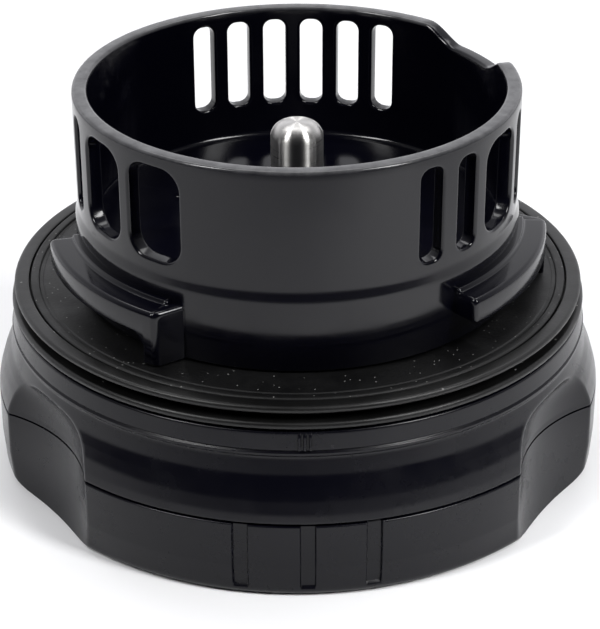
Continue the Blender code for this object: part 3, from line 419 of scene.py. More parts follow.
# %% [markdown]
# A metal's colour is in the reflection itself. Screws, races and the rotor need only a tint and some gloss.
# The shaft is ground between centres, which leaves fine rings round it: light is spread along the shaft and
# stays narrow round it, so a lamp shows as a long bright line. The wire and the board get one pattern each.

# %% Metals, copper and board parts


def metal(name, colour, gloss, grain, tint=0.85):
    """Bare metal with fine marks; the tint darkens it in patches."""
    mat, tree, shader = new_material(name)
    patches = noise(tree, 260.0, 4.0)
    darker = tuple(tint * c for c in colour)
    tree.links.new(blend_colour(tree, patches, darker, colour), shader.inputs["Base Color"])
    shader.inputs["Metallic"].default_value = 1.0
    tree.links.new(use_group(tree, smudge_group, Low=gloss[0], High=gloss[1]), shader.inputs["Roughness"])
    height = use_group(tree, grain_group, Grain=grain, Grain_scale=6000.0, Waves=0.2)
    bumped(tree, shader, height, 0.000008)
    return mat


def ground_steel(name):
    """Steel ground on centres: fine rings round the axis, from noise that changes fast with the height only.

    The rings are too fine to see, and spread each reflection up and down, which is anisotropic gloss.
    """
    mat, tree, shader = new_material(name)
    shader.inputs["Base Color"].default_value = (0.64, 0.63, 0.61, 1.0)
    shader.inputs["Metallic"].default_value = 1.0
    stretch = add_node(tree, "ShaderNodeMapping", {"Vector": place(tree), "Scale": (60.0, 60.0, 9000.0)})
    rings = add_node(tree, "ShaderNodeTexNoise", {"Vector": stretch.outputs[0], "Scale": 1.0, "Detail": 3.0})
    links = {"Value": rings.outputs["Fac"], "From Min": 0.3, "From Max": 0.7, "To Min": 0.26, "To Max": 0.34}
    gloss = add_node(tree, "ShaderNodeMapRange", links)
    tree.links.new(gloss.outputs[0], shader.inputs["Roughness"])
    round_axis = add_node(tree, "ShaderNodeTangent", direction_type='RADIAL', axis='Z')
    tree.links.new(round_axis.outputs[0], shader.inputs["Tangent"])
    shader.inputs["Anisotropic"].default_value = 1.0
    shader.inputs["Anisotropic Rotation"].default_value = 0.25
    bumped(tree, shader, rings.outputs["Fac"], 0.000002)
    return mat


def wound_copper(name):
    """Enamelled wire: fine ridges across the winding from a wave along the height; the same wave paints the
    colour darker between the turns as painted shade and lighter on their crowns as painted highlight.
    """
    mat, tree, shader = new_material(name)
    wave = add_node(tree, "ShaderNodeTexWave", {"Vector": place(tree), "Scale": 420.0, "Distortion": 0.6},
                    bands_direction='Z')
    # painted shade between the turns and painted highlight on their crowns, from the same wave as the bump
    ridge_shade_colour = blend_colour(tree, wave.outputs["Fac"], (0.22, 0.07, 0.02), (0.62, 0.25, 0.09))
    tree.links.new(ridge_shade_colour, shader.inputs["Base Color"])
    shader.inputs["Metallic"].default_value = 1.0
    tree.links.new(use_group(tree, smudge_group, Low=0.22, High=0.40), shader.inputs["Roughness"])
    bumped(tree, shader, wave.outputs["Fac"], 0.0001)
    return mat


def solder_mask(name):
    """Green board: darker and lighter strips stand for the copper tracks under the mask."""
    mat, tree, shader = new_material(name)
    tracks = add_node(tree, "ShaderNodeTexVoronoi", {"Vector": place(tree), "Scale": 320.0},
                      distance='MANHATTAN')
    strips = maths(tree, 'GREATER_THAN', tracks.outputs["Distance"], 0.42)
    colour = blend_colour(tree, strips, (0.010, 0.095, 0.035), (0.020, 0.170, 0.065))
    tree.links.new(colour, shader.inputs["Base Color"])
    tree.links.new(use_group(tree, smudge_group, Low=0.28, High=0.45), shader.inputs["Roughness"])
    bumped(tree, shader, strips, 0.00003)
    return mat


SHAFT_STEEL = ground_steel("ground_shaft_steel")
BEARING_STEEL = metal("bearing_steel", (0.66, 0.66, 0.67), (0.10, 0.22), 0.3)
SCREW_STEEL = metal("screw_steel", (0.50, 0.50, 0.49), (0.22, 0.40), 0.8)
SPRING_STEEL = metal("spring_steel", (0.36, 0.37, 0.39), (0.25, 0.45), 0.7, 0.7)
SOFT_IRON = metal("soft_iron", (0.26, 0.26, 0.27), (0.40, 0.60), 1.4, 0.7)
MAGNET_GREY = metal("magnet_grey", (0.10, 0.10, 0.11), (0.40, 0.55), 1.8, 0.8)
CAN_METAL = metal("capacitor_can", (0.62, 0.63, 0.65), (0.18, 0.32), 0.4)
COPPER = wound_copper("enamelled_copper")
BOARD_GREEN = solder_mask("board_green")
CHIP_BLACK = moulded("chip_black", (0.014, 0.014, 0.014), (0.45, 0.60), (1.0, 5200.0, 0.1),
                     (0.05, 900.0), 0.3)

print("metals and board:", len(bpy.data.materials), "materials so far")

# %% [markdown]
# Each solid of the frame names the slot that its finish comes from. The solids inside keep their shape and
# get the slot's material. A fine piece is given its own finish, and the solid that it stands for is hidden.

# %% Finishes by slot
BY_SLOT = {
    "cage_plastic": CAGE_BLACK, "carrier_plastic": HIDDEN_BLACK, "grip_plastic": GRIP_BLACK,
    "seal_rubber": RUBBER, "polished_steel": BEARING_STEEL, "screw_steel": SCREW_STEEL,
    "spring_steel": SPRING_STEEL, "soft_iron": SOFT_IRON, "magnet_grey": MAGNET_GREY,
    "enamelled_copper": COPPER, "board_green": BOARD_GREEN, "chip_black": CHIP_BLACK,
    "capacitor_can": CAN_METAL,
}
slot_of = {s["node"]: s["material_slot"] for s in frame["record"]["subparts"]}
for node_name, node_object in frame["nodes"].items():
    node_object.data.materials.clear()
    node_object.data.materials.append(BY_SLOT[slot_of[node_name]])
print("finishes:", len(BY_SLOT))


def stands_for(obj, node, body, mat):
    """Give a fine piece its finish, hide the solid it stands for and let it ride on its body."""
    obj.data.materials.append(mat)
    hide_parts(node)
    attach(obj, body)
    return obj


# %% [markdown]
# ## The cage's windows
#
# The cage is a thin sleeve with ten narrow windows and three wide ones. Cutting them with Booleans would
# leave knife edges, so the wall is laid out flat instead: every window sits in a cell of its own, and a grid
# of rings runs from the cell's border to the window's edge, rolls over that edge in a quarter round, crosses
# the wall and rolls out on the inside. A window's outline is a core rectangle grown by the corner radius.

# %% Window cells
CAGE_R = 33.3
CAGE_WALL = 2.3
WALL_MIDDLE = CAGE_R - CAGE_WALL / 2
WINDOW_FOOT = FLOOR_TOP + 5.6
WINDOW_TALL = 14.3
ROLL = 0.45                  # the window edge's quarter round
CELL_EDGE = 0.17             # flat wall between a window's rounded edge and its cell's border
NARROW = (4.15 - ROLL, 1.5)  # width and corner radius of the throat
WIDE = (9.4 - ROLL, 3.0)
BACK_PITCH = 10.9
windows = [(181.0 + BACK_PITCH * (i - 2.5), NARROW) for i in range(6)]
windows += [(a, NARROW) for a in (34.2, 46.0, 77.0, -74.3)]
windows += [(a, WIDE) for a in (61.8, -37.6, -57.5)]
windows = sorted((a % 360.0, size) for a, size in windows)
CELL_HIGH = WINDOW_TALL / 2 + ROLL + CELL_EDGE
CELL_FOOT = WINDOW_FOOT + WINDOW_TALL / 2 - CELL_HIGH
CELL_TOP = CELL_FOOT + 2 * CELL_HIGH
ARC, ACROSS, UP = 4, 4, 10   # steps in half a corner, across and up a window
FACE_RINGS = 4               # rings on the flat wall between a cell's border and the rounded edge
print(f"{len(windows)} windows, {WINDOW_TALL} mm tall, from {WINDOW_FOOT:.1f} mm up")


def window_core(width, corner):
    """Core points and outward directions round a window, anticlockwise from its lower left corner."""
    w, h = width / 2 - corner, WINDOW_TALL / 2 - corner
    ends = np.array([(-w, -h), (w, -h), (w, h), (-w, h)])
    core, turn = [], []
    for k, steps in enumerate((ACROSS, UP, ACROSS, UP)):
        core.append(np.repeat(ends[k:k + 1], 2 * ARC, axis=0))
        turn.append(180 + 90 * k + 90 * np.arange(2 * ARC) / (2 * ARC))
        t = np.arange(steps)[:, None] / steps
        core.append(ends[k] * (1 - t) + ends[(k + 1) % 4] * t)
        turn.append(np.full(steps, 270.0 + 90 * k))
    core, turn = np.concatenate(core), np.radians(np.concatenate(turn))
    return np.roll(core, -ARC, axis=0), np.roll(turn, -ARC)


def cell_border(width, corner):
    """Core points and outward ways round a window, and the points on its cell's border that they lead to.

    Each way is stretched until its longer part is one, so a window's corners lead to its cell's corners.
    """
    core, turn = window_core(width, corner)
    way = np.stack((np.cos(turn), np.sin(turn)), axis=-1)
    box_way = way / np.abs(way).max(axis=1, keepdims=True)
    half_cell = np.array([width / 2 + ROLL + CELL_EDGE, CELL_HIGH])
    half_core = np.array([width / 2 - corner, WINDOW_TALL / 2 - corner])
    return core, way, core + box_way * (half_cell - half_core)


def window_grid(centre, width, corner):
    """The window's rings, from its cell's border outside the wall to the same border inside it.

    A ring is the core moved out along its directions: on the faces by a blend from the cell's border to the
    rounded edge, on the edge by the corner radius plus what is left of the quarter round.
    """
    core, way, border = cell_border(width, corner)
    edge = core + way * (corner + ROLL)
    t = np.linspace(0, 1, FACE_RINGS)[:, None, None]
    face = border * (1 - t) + edge * t
    a = QUARTER[1:, None, None]
    lip = core + way * (corner + ROLL * (1 - np.sin(a)))
    depth = ROLL * (1 - np.cos(a[:, 0, 0]))
    flat = np.concatenate((face, lip, lip[::-1], face[::-1]))
    outer = np.concatenate((np.zeros(FACE_RINGS), depth))
    radius = np.concatenate((CAGE_R - outer, CAGE_R - CAGE_WALL + outer[::-1]))[:, None]
    angle = centre + np.degrees(flat[..., 0] / WALL_MIDDLE)
    return on_ring(radius, angle, flat[..., 1] + WINDOW_FOOT + WINDOW_TALL / 2)


def cell_borders(centre, width, corner):
    """Angles along a cell's foot and heights along its side, left to right and bottom to top."""
    border = cell_border(width, corner)[2]
    across, up = 2 * ARC + ACROSS, 2 * ARC + UP
    angles = centre + np.degrees(border[:across + 1, 0] / WALL_MIDDLE)
    return angles, border[across:across + up + 1, 1] + CELL_FOOT + CELL_HIGH


# %% [markdown]
# ## The rim and the sleeve
#
# Between the cells the wall is plain. The rim has a dished notch on the right, with a ramp at each end of its
# level floor, so the wall's top is a function of the angle.

# %% Rim height
NOTCH = (101.0, 112.0, 128.0, 140.0)
NOTCH_DEPTH = 2.55
RIM_ROUND = 0.55


def eased(t):
    """A step from 0 to 1 with level ends: three t squared minus two t cubed."""
    t = np.clip(t, 0, 1)
    return t * t * (3 - 2 * t)


def rim_height(angle):
    """The rim's height: level, but for an eased drop into the notch and an eased rise out of it."""
    a = np.asarray(angle) % 360.0
    start, foot, rise, end = NOTCH
    drop = eased((a - start) / (foot - start)) * eased((end - a) / (end - rise))
    return RIM_Z - 0.01 - NOTCH_DEPTH * drop


def cell_top(angle):
    """Where the plain wall ends and the rim strip starts; lower under the notch."""
    return np.minimum(CELL_TOP, rim_height(angle) - RIM_ROUND - 0.2)


print(f"rim {rim_height(0.0):.2f} mm up, {rim_height(120.0):.2f} in the notch")

# %% [markdown]
# The sleeve is put together from four kinds of grid: a window grid in each cell, plain wall between the cells
# outside and inside, a foot strip below and a rim strip above. Neighbours share their border points, so
# welding gives one closed skin. The foot strip goes from the cells down the inside to the floor, in to the
# shaft seal's seat, back under the floor and up the outside, over a soft step where the wall gets thinner.

# %% Cage sleeve
FLOOR_T = 3.4                # thickness of the cage's floor
STEP_OUT, STEP_FOOT, STEP_HEAD = 0.36, 40.2, 41.7
plain, columns = [], []
borders = [cell_borders(a, *size) for a, size in windows]
for k, (angles, heights) in enumerate(borders):
    after, after_heights = borders[(k + 1) % len(borders)]
    start, end = angles[-1], after[0] + (360.0 if k == len(borders) - 1 else 0.0)
    between = np.linspace(start, end, max(2, int((end - start) / 0.8) + 2))
    t = (between - start) / (end - start)
    rows = heights[:, None] * (1 - t) + after_heights[:, None] * t
    share = (rows - CELL_FOOT) / (CELL_TOP - CELL_FOOT)
    rows = CELL_FOOT + share * (cell_top(between) - CELL_FOOT)
    plain.append((on_ring(CAGE_R, between, rows), False, False))
    plain.append((on_ring(CAGE_R - CAGE_WALL, between, rows)[::-1], False, False))
    columns += [angles[:-1], between[:-1]]
columns = np.concatenate(columns)

bore = CAGE_R - CAGE_WALL
seat_r, under = SEAL_R + 0.3, FLOOR_TOP - FLOOR_T
foot_corners = [
    (bore, CELL_FOOT), (bore, FLOOR_TOP), (seat_r, FLOOR_TOP), (seat_r, under), (bore, under), (bore, CAGE_Z),
    (CAGE_R + STEP_OUT, CAGE_Z), (CAGE_R + STEP_OUT, STEP_FOOT), (CAGE_R, STEP_HEAD), (CAGE_R, CELL_FOOT)]
foot_radii = [0, 0.9, 0.25, 0.2, 0.5, 0.25, 0.3, 3.0, 3.0, 0]
foot_strip = lathe(rounded(foot_corners, foot_radii), columns)

over_r = np.concatenate((CAGE_R - RIM_ROUND + RIM_ROUND * np.cos(QUARTER),
                         bore + RIM_ROUND - RIM_ROUND * np.cos(QUARTER[::-1])))[:, None]
over_z = (RIM_ROUND * np.concatenate((np.sin(QUARTER), np.sin(QUARTER[::-1]))) - RIM_ROUND)[:, None]
rim_rows = rim_height(columns) + over_z
top_rows = np.stack((cell_top(columns),) * 2)
rim_strip = np.concatenate((on_ring(CAGE_R, columns, top_rows[:1]), on_ring(over_r, columns, rim_rows),
                            on_ring(bore, columns, top_rows[1:])))
grids = [(window_grid(a, *size), False, True) for a, size in windows] + plain
grids += [(foot_strip, False, True), (rim_strip, False, True)]
cage = skin("cage_sleeve", grids)
stands_for(cage, "impeller_cage", "drive_body", CAGE_BLACK)

# %% [markdown]
# ## Bayonet lugs
#
# Each lug is a ledge swept part of the way round, with a low step against the sleeve and a post at one end
# that stops the twist. Its ends are rounded by shrinking the section as it nears them: the section is drawn
# with an inset, and the inset follows a quarter circle. The post's end face is slanted: it runs on a little
# at its root.

# %% Lugs
LUG_TIP = CAGE_R + 4.6
LUG_FOOT = CAGE_Z + 4.55
LUG_TOP = LUG_FOOT + 3.8
LUG_CENTRES = (-55.4, 64.6, 184.6)
LUG_HALF = 23.1
POST_WIDE = 3.6              # degrees
END_ROUND = 0.6
LUG_MIDDLE = (CAGE_R + LUG_TIP) / 2
WEB = 1.8                    # radius of the web between ledge and post
POST_SLANT = 3.9             # degrees that the post's end face runs on at its root


def swept(name, section, start, end, slant=0.0):
    """A section swept between two angles; section(inset, angle) gives its outline, and the ends are rounded.

    With a slant, points turn further the nearer they lie to the sleeve, by that many degrees at its face.

    Near an end, at a distance d inside it, the inset is radius minus the root of radius squared minus
    (radius minus d) squared, which is a quarter circle.
    """
    inset = END_ROUND * (1 - np.sin(QUARTER))
    run = np.degrees(END_ROUND * (1 - np.cos(QUARTER)) / LUG_MIDDLE)
    middle = np.arange(start + run[-1], end - run[-1], 0.5)[1:]
    turns = np.concatenate((start + run, middle, end - run[::-1]))
    insets = np.concatenate((inset, np.zeros(len(middle)), inset[::-1]))
    outlines = np.stack([section(i, t) for i, t in zip(insets, turns)], axis=1)
    turned_on = slant * (LUG_TIP - outlines[..., 0]) / (LUG_TIP - CAGE_R)
    grid = on_ring(outlines[..., 0], turns + turned_on, outlines[..., 1])
    rows, cols = grid.shape[:2]
    first = np.arange(rows) * cols
    return skin(name, [(grid, True, False)], caps=[first[::-1], first + cols - 1])


def web_drop(distance):
    """How far the ledge's underside dips on its way into the post: a quarter circle of radius WEB."""
    d = min(max(distance, 0.0), WEB)
    return WEB - math.sqrt(WEB ** 2 - (WEB - d) ** 2)


def ledge_section(post_start):
    """The ledge's section: a low step against the sleeve, and a web that dips towards the post."""
    def section(inset, turn):
        root, tip = CAGE_R - 0.8, LUG_TIP - inset
        low = LUG_FOOT + inset - web_drop(math.radians(post_start - turn) * LUG_MIDDLE)
        top, step = LUG_TOP - inset, CAGE_R + 1.3 - inset * 0.5
        corners = [(root, low), (tip, low), (tip, top), (step, top), (step - 0.3, top + 0.5),
                   (root, top + 0.5)]
        return rounded(corners, [0, 0.35, 0.8, 0.5, 0.3, 0])
    return section


def post_section(inset, turn):
    """The stop post's section, from just above the flange up to just below the ledge's top."""
    root, tip = CAGE_R - 0.8, LUG_TIP - 0.02 - inset
    corners = [(root, CAGE_Z), (tip, CAGE_Z), (tip, LUG_TOP - 0.02 - inset), (root, LUG_TOP - 0.02 - inset)]
    return rounded(corners, [0, 0.2, 0.8, 0])


for k, centre in enumerate(LUG_CENTRES):
    start, end = centre - LUG_HALF, centre + LUG_HALF
    post_start = end - POST_WIDE
    ledge = swept(f"lug_ledge_{k + 1}", ledge_section(post_start), start, end)
    stands_for(ledge, "impeller_cage", "drive_body", CAGE_BLACK)
    post = swept(f"lug_post_{k + 1}", post_section, post_start, end, POST_SLANT)
    stands_for(post, "impeller_cage", "drive_body", CAGE_BLACK)

# %% [markdown]
# ## Flange, seal rings, shaft and shaft seal
#
# These are all turned. The flange carries a low bead near its edge; the two rubber rings have flat
# backs and round edges, and stand just proud of the flange and of the collar's neck.

# %% Turned pieces
BEAD_IN, BEAD_WIDE, BEAD_RISE = 2.3, 1.4, 0.28
RING_SEAT = 1.0
seat = CARRIER_R - RING_SEAT
bead = CARRIER_R - BEAD_IN
low_z, high_z = lower_ring[0][2] - 0.3, upper_ring[0][2] - 0.3
land_low = lower_ring[1][2] + 0.3
flange_corners = [
    (9.0, carrier_low[2]), (CARRIER_R, carrier_low[2]), (CARRIER_R, low_z), (seat, low_z), (seat, land_low),
    (CARRIER_R, land_low), (CARRIER_R, high_z), (seat, high_z), (seat, CARRIER_TOP - 0.35),
    (bead + BEAD_WIDE, CARRIER_TOP), (bead + BEAD_WIDE - 0.1, CARRIER_TOP + BEAD_RISE),
    (bead + 0.1, CARRIER_TOP + BEAD_RISE), (bead, CARRIER_TOP - 0.12), (bead - 0.5, CARRIER_TOP - 0.12),
    (bead - 0.7, CARRIER_TOP), (9.0, CARRIER_TOP)]
flange_radii = [0.2, 0.2, 0.1, 0.1, 0.1, 0.15, 0.15, 0.1, 0.1, 0.3, 0.45, 0.3, 0.1, 0.08, 0.1, 0.2]
flange = turned("flange", flange_corners, flange_radii)
stands_for(flange, "seal_carrier", "drive_body", FLANGE_BLACK)


def rubber_ring(name, low, high):
    """A rubber ring with a flat back and a full round edge."""
    tip = (high[0] - low[0]) / 2 - 0.01
    inner = seat + 0.3
    corners = [(inner, low[2]), (tip, low[2]), (tip, high[2]), (inner, high[2])]
    ring = turned(name, corners, [0.1, 0.5, 0.56, 0.3])
    return stands_for(ring, name.replace("_skin", ""), "drive_body", RUBBER)


rubber_ring("upper_seal_ring_skin", *upper_ring)
rubber_ring("lower_seal_ring_skin", *lower_ring)

END_CORNER = 2.3
shaft_corners = [(0.0, shaft_low[2]), (SHAFT_R, shaft_low[2]), (SHAFT_R, shaft_high[2] - 0.12),
                 (0.0, shaft_high[2] - 0.01)]
shaft = turned("drive_shaft_skin", shaft_corners, [0, 0.5, END_CORNER, 0], closed=False, steps=12)
stands_for(shaft, "drive_shaft", "rotor", SHAFT_STEEL)

lip = SHAFT_R + 0.3
seal_top = seal_high[2]
seal_corners = [(lip + 1.2, seal_low[2]), (SEAL_R, seal_low[2]), (SEAL_R, seal_top), (SEAL_R - 1.1, seal_top),
                (SEAL_R - 1.6, seal_top - 0.5), (lip + 0.9, seal_top - 0.5), (lip, seal_top - 0.1),
                (lip, seal_top - 0.9)]
shaft_seal = turned("shaft_seal_skin", seal_corners, [0.1, 0.1, 0.3, 0.15, 0.15, 0.2, 0.06, 0.1])
stands_for(shaft_seal, "shaft_seal", "drive_body", RUBBER)

# %% [markdown]
# ## The grip collar
#
# The collar is one turned shape with three scoops bitten out of it for the fingers. At any angle and height
# its radius is the smaller of the turned profile and the scoop's own arc. A plain minimum would leave a
# knife edge, so the two are joined by a smooth minimum, which rounds the edge by a chosen amount. Small
# features are added to the same radius: the index mark on the neck, and three grooves in the lower band.

# %% Grip radius
SCOOPS = (-56.7, 56.7, 180.0)
SCOOP_HALF = 14.6            # degrees
SCOOP_DEPTH = 4.6
SCOOP_LEAN = 0.155           # how far the scoop leans out for each millimetre below its deep point
SCOOP_DEEP_Z = 13.0
SCOOP_COVE = 0.00075         # strength of the dished upper end
GRIP_TURN = 1.0              # degrees that the collar stands turned at rest
EDGE_SOFT = 0.28
GROOVES = (-10.3, 1.5, 13.1)
GROOVE_HALF, GROOVE_DEEP, GROOVE_FOOT = 1.15, 0.5, 1.8
INDEX_ANGLE, INDEX_STEP, INDEX_RISE = 1.1, 1.0, 0.3
NECK_R = GRIP_R - 2.8
LIP_Z = shell_high[2]
SHELL_Z = shell_low[2]
BAND_TOP = band_high[2]


def smooth_least(a, b, soft):
    """The smaller of two values, with a round changeover: their mix by a share h, less soft h (1 - h)."""
    h = np.clip(0.5 + 0.5 * (b - a) / soft, 0, 1)
    return b * (1 - h) + a * h - soft * h * (1 - h)


def scoop_radius(away, z):
    """Radius of a scoop's arc at an angle away from its middle.

    The arc goes through the lobe's corners and the scoop's deepest line, and its centre lies outside; the
    deepest line is dished above its deep point and leans out below it.
    """
    deep = GRIP_R - SCOOP_DEPTH
    above = SCOOP_COVE * np.maximum(z - SCOOP_DEEP_Z, 0) ** 4
    floor = deep + above + SCOOP_LEAN * np.maximum(SCOOP_DEEP_Z - z, 0)
    edge = GRIP_R * math.cos(math.radians(SCOOP_HALF))
    half = GRIP_R * math.sin(math.radians(SCOOP_HALF))
    sag = np.maximum(edge - floor, 0.05)
    arc_r = (half * half + sag * sag) / (2 * sag)
    centre = floor + arc_r
    reach = arc_r ** 2 - (centre * np.sin(away)) ** 2
    inside = (reach > 0) & (np.abs(away) < math.radians(SCOOP_HALF + 8.0))
    arc = centre * np.cos(away) - np.sqrt(np.maximum(reach, 0))
    return np.where(inside, arc, 99.0)


def soft_box(x, low, high, soft):
    """1 between low and high, with eased flanks of width soft outside them."""
    return eased((x - low) / soft + 1) * eased((high - x) / soft + 1)


def grip_radius(radius, angle, z):
    """The collar's outer radius: the turned profile, less the scoops."""
    best = radius + 0 * angle
    for scoop in SCOOPS:
        away = np.radians((angle - GRIP_TURN - scoop + 180.0) % 360.0 - 180.0)
        best = smooth_least(best, scoop_radius(away, z), EDGE_SOFT)
    return best


def grip_angles():
    """Angles round the collar: closer in the scoops, closer still at their edges, the grooves and the mark."""
    parts = [np.arange(0, 360, 1.5)]
    for middle in np.array(SCOOPS) + GRIP_TURN:
        parts.append(middle + np.arange(-SCOOP_HALF - 1.6, SCOOP_HALF + 1.6, 0.4))
        parts += [middle + side * SCOOP_HALF + np.arange(-0.9, 0.9, 0.2) for side in (-1, 1)]
    parts += [g + side * GROOVE_HALF * 1.22 + np.arange(-0.5, 0.5, 0.06) for g in GROOVES for side in (-1, 1)]
    parts.append(INDEX_ANGLE + np.arange(-1.7, 1.7, 0.06))
    return np.unique(np.round(np.concatenate(parts) % 360.0, 3))


angles = grip_angles()
print("angles round the collar:", len(angles))


# %% [markdown]
# The upper shell has an upright neck with a small bead under it, a waist, and a shoulder that flares out to
# the parting line. The lower band is nearly upright, with a rounded foot. Each is closed by its plain bore.

# %% Helpers for the collar
ROW_STEP = 0.28              # most that two rows of points lie apart on the outside
RIB_HALF = 0.2               # degrees


def spaced(outline, step, is_outside):
    """The outline with its outer points at most a step apart, so that features between its corners show."""
    ends = np.roll(outline, -1, axis=0)
    counts = np.maximum(1, np.ceil(np.linalg.norm(ends - outline, axis=1) / step).astype(int))
    counts = np.where(is_outside(outline[:, 0]) & is_outside(ends[:, 0]), counts, 1)
    t = np.concatenate([np.arange(n) / n for n in counts])[:, None]
    return np.repeat(outline, counts, axis=0) * (1 - t) + np.repeat(ends, counts, axis=0) * t


def neck_mark(angle, z):
    """Height of the three small ribs of the index mark."""
    middles = [INDEX_ANGLE + k * INDEX_STEP for k in (-1, 0, 1)]
    ribs = sum(soft_box(angle, middle - RIB_HALF, middle + RIB_HALF, 0.12) for middle in middles)
    return INDEX_RISE * ribs * soft_box(z, LIP_Z - 2.6, LIP_Z - 0.5, 0.3)


def grooves(angle, z):
    """Depth of the three grooves, which run out at the band's top."""
    turn = (angle + 180.0) % 360.0 - 180.0
    depth = sum(soft_box(turn, g - GROOVE_HALF, g + GROOVE_HALF, 0.35) for g in GROOVES)
    return GROOVE_DEEP * depth * soft_box(z, GROOVE_FOOT, 99.0, 0.5)


def collar_piece(name, corners, radii, is_outside, feature):
    """A collar moulding: its outline carried round, with the scoops and features on the outer points only."""
    outline = spaced(rounded(corners, radii), ROW_STEP, is_outside)
    r, z = outline[:, :1], outline[:, 1:]
    turn = (angles + 180.0) % 360.0 - 180.0
    shaped = grip_radius(r, angles, z) + feature(turn, z)
    radius = np.where(is_outside(r), shaped, r)
    return skin(name, [(on_ring(radius, angles, z), True, True)])


# %% Shell and band
bore_r = NECK_R - 3.67
neck_bore = NECK_R - 1.97
NECK_TAPER = 0.38
ledge_z = carrier_low[2] - 0.6
shell_corners = [
    (bore_r, SHELL_Z), (GRIP_R - 0.04, SHELL_Z), (GRIP_R - 0.3, 13.58), (NECK_R + 1.85, 15.76),
    (NECK_R + 1.15, 17.46), (NECK_R + 0.5, 18.8), (NECK_R - 0.2, 21.6), (NECK_R + 0.14, 22.05),
    (NECK_R + 0.14, 22.4), (NECK_R - 0.2, 22.65), (NECK_R, 22.87), (NECK_R - NECK_TAPER, LIP_Z),
    (neck_bore, LIP_Z), (neck_bore, ledge_z), (bore_r, ledge_z)]
shell_radii = [0.2, 0.25, 8.0, 8.0, 4.0, 4.0, 0.5, 0.15, 0.12, 0.06, 0.06, 0.35, 0.3, 0.1, 0.2]
shell = collar_piece("grip_shell_skin", shell_corners, shell_radii, lambda r: r > NECK_R - 1.1, neck_mark)
stands_for(shell, "grip_shell", "grip_collar", GRIP_BLACK)

plate_r = (plate_high[0] - plate_low[0]) / 2
rebate = plate_r + 0.3
REBATE_TOP = 3.2
band_corners = [(rebate, 0.0), (GRIP_R - 0.35, 0.0), (GRIP_R, 5.0), (GRIP_R, 9.0), (GRIP_R - 0.04, BAND_TOP),
                (bore_r, BAND_TOP), (bore_r, REBATE_TOP), (rebate, REBATE_TOP)]
band_radii = [0.2, 1.3, 4.0, 3.0, 0.25, 0.2, 0.2, 0.1]
band = collar_piece("grip_band_skin", band_corners, band_radii, lambda r: r > rebate + 1.5,
                    lambda a, z: -grooves(a, z))
stands_for(band, "grip_band", "grip_collar", GRIP_BLACK)

# %% [markdown]
# ## The floor
#
# The unit stands on white paper. In front the floor's colour turns grey, painted shade for the dim light on
# the camera's side. The turn is a smooth step along Y in the floor's material, far enough away that it only
# shows in what the cage reflects.

# %% Floor
FLOOR_SIZE = 6.0
FLOOR_DROP = 0.00005         # keeps the floor off the foot of the grip
PAPER_WHITE, SHADE_GREY = (0.92, 0.92, 0.93), (0.24, 0.24, 0.245)
SHADE_START, SHADE_FULL = -0.115, -0.26
bm = bmesh.new()
bmesh.ops.create_grid(bm, x_segments=8, y_segments=8, size=FLOOR_SIZE)
floor_mesh = bpy.data.meshes.new("floor")
bm.to_mesh(floor_mesh)
bm.free()
floor = bpy.data.objects.new("floor", floor_mesh)
floor.location.z = -FLOOR_DROP
bpy.context.scene.collection.objects.link(floor)
floor_mat, floor_tree, floor_shader = new_material("white_sweep")
depth = add_node(floor_tree, "ShaderNodeSeparateXYZ", {0: place(floor_tree)}).outputs["Y"]
links = {"Value": depth, "From Min": SHADE_FULL, "From Max": SHADE_START}
lit = add_node(floor_tree, "ShaderNodeMapRange", links, interpolation_type='SMOOTHSTEP')
# painted shade: the floor's colour darkens from white to grey in front of the unit
paper_and_shade = blend_colour(floor_tree, lit.outputs[0], SHADE_GREY, PAPER_WHITE)
floor_tree.links.new(paper_and_shade, floor_shader.inputs["Base Color"])
floor_shader.inputs["Roughness"].default_value = 0.6
floor_shader.inputs["Specular IOR Level"].default_value = 0.2
floor.data.materials.append(floor_mat)
print(f"floor {2 * FLOOR_SIZE:.0f} m wide")

# %% [markdown]
# ## The light
#
# A black glossy part mostly shows what is around it, so the surroundings are white behind and above, and dim
# on the camera's side. Two tall soft lights on the left and the right give the long highlights on the cage
# and on the shoulders of the grip. A wide one behind lights the rim, and a small glow lights the floor on
# the right.

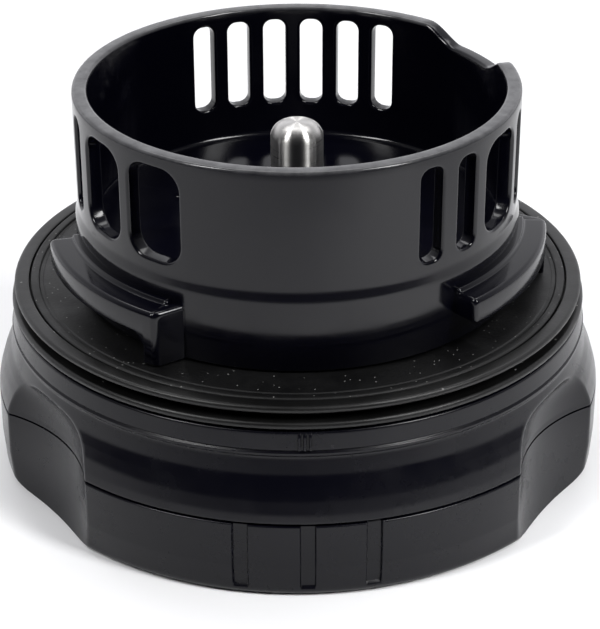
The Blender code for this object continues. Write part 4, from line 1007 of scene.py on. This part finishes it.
# %% World
world = bpy.data.worlds.new("studio")
bpy.context.scene.world = world
world.use_nodes = True
sky = world.node_tree
background = sky.nodes["Background"]
way = add_node(sky, "ShaderNodeTexCoord").outputs["Generated"]
parts = add_node(sky, "ShaderNodeSeparateXYZ", {0: way})
links = {"Value": parts.outputs["Y"], "From Min": -0.4, "From Max": 0.7, "To Min": 0.05, "To Max": 1.28}
behind = add_node(sky, "ShaderNodeMapRange", links, interpolation_type='SMOOTHSTEP')
links = {"Value": parts.outputs["Z"], "From Min": 0.15, "From Max": 0.75, "To Min": 1.0, "To Max": 0.55}
lower = add_node(sky, "ShaderNodeMapRange", links, interpolation_type='SMOOTHSTEP')
tone = maths(sky, 'MULTIPLY', behind.outputs[0], lower.outputs[0])
grey = add_node(sky, "ShaderNodeCombineColor", {0: tone, 1: tone, 2: maths(sky, 'MULTIPLY', tone, 1.04)})
sky.links.new(grey.outputs[0], background.inputs["Color"])
background.inputs["Strength"].default_value = 1.0
print("world:", world.name)

# %% Lights


def aimed(obj, place_m, aim_m):
    """Put a light in a place and turn it so that it points at a spot."""
    bpy.context.scene.collection.objects.link(obj)
    obj.location = place_m
    away = obj.location - type(obj.location)(aim_m)
    obj.rotation_euler = away.to_track_quat('Z', 'Y').to_euler()


def soft_light(name, place_m, aim_m, size, power):
    """A rectangular soft light that points at a spot."""
    data = bpy.data.lights.new(name, 'AREA')
    data.shape = 'RECTANGLE'
    data.size, data.size_y = size
    data.energy = power
    aimed(bpy.data.objects.new(name, data), place_m, aim_m)


MIDDLE = (0.0, 0.0, 0.03)
GLOW_PLACE, GLOW_AIM, GLOW_POWER = (0.24, -0.24, 0.26), (0.085, -0.095, 0.0), 3.0
soft_light("left_light", (-0.40, -0.26, 0.60), MIDDLE, (0.12, 0.34), 2.6)
soft_light("right_light", (0.38, -0.28, 0.52), MIDDLE, (0.12, 0.34), 3.0)
soft_light("back_light", (0.0, 0.50, 1.0), MIDDLE, (1.0, 0.35), 4.4)
glow = bpy.data.lights.new("right_glow", 'SPOT')
glow.energy = GLOW_POWER
glow.spot_size, glow.spot_blend, glow.shadow_soft_size = math.radians(30.0), 1.0, 0.02
aimed(bpy.data.objects.new("right_glow", glow), GLOW_PLACE, GLOW_AIM)
bpy.context.scene.view_settings.view_transform = 'Standard'
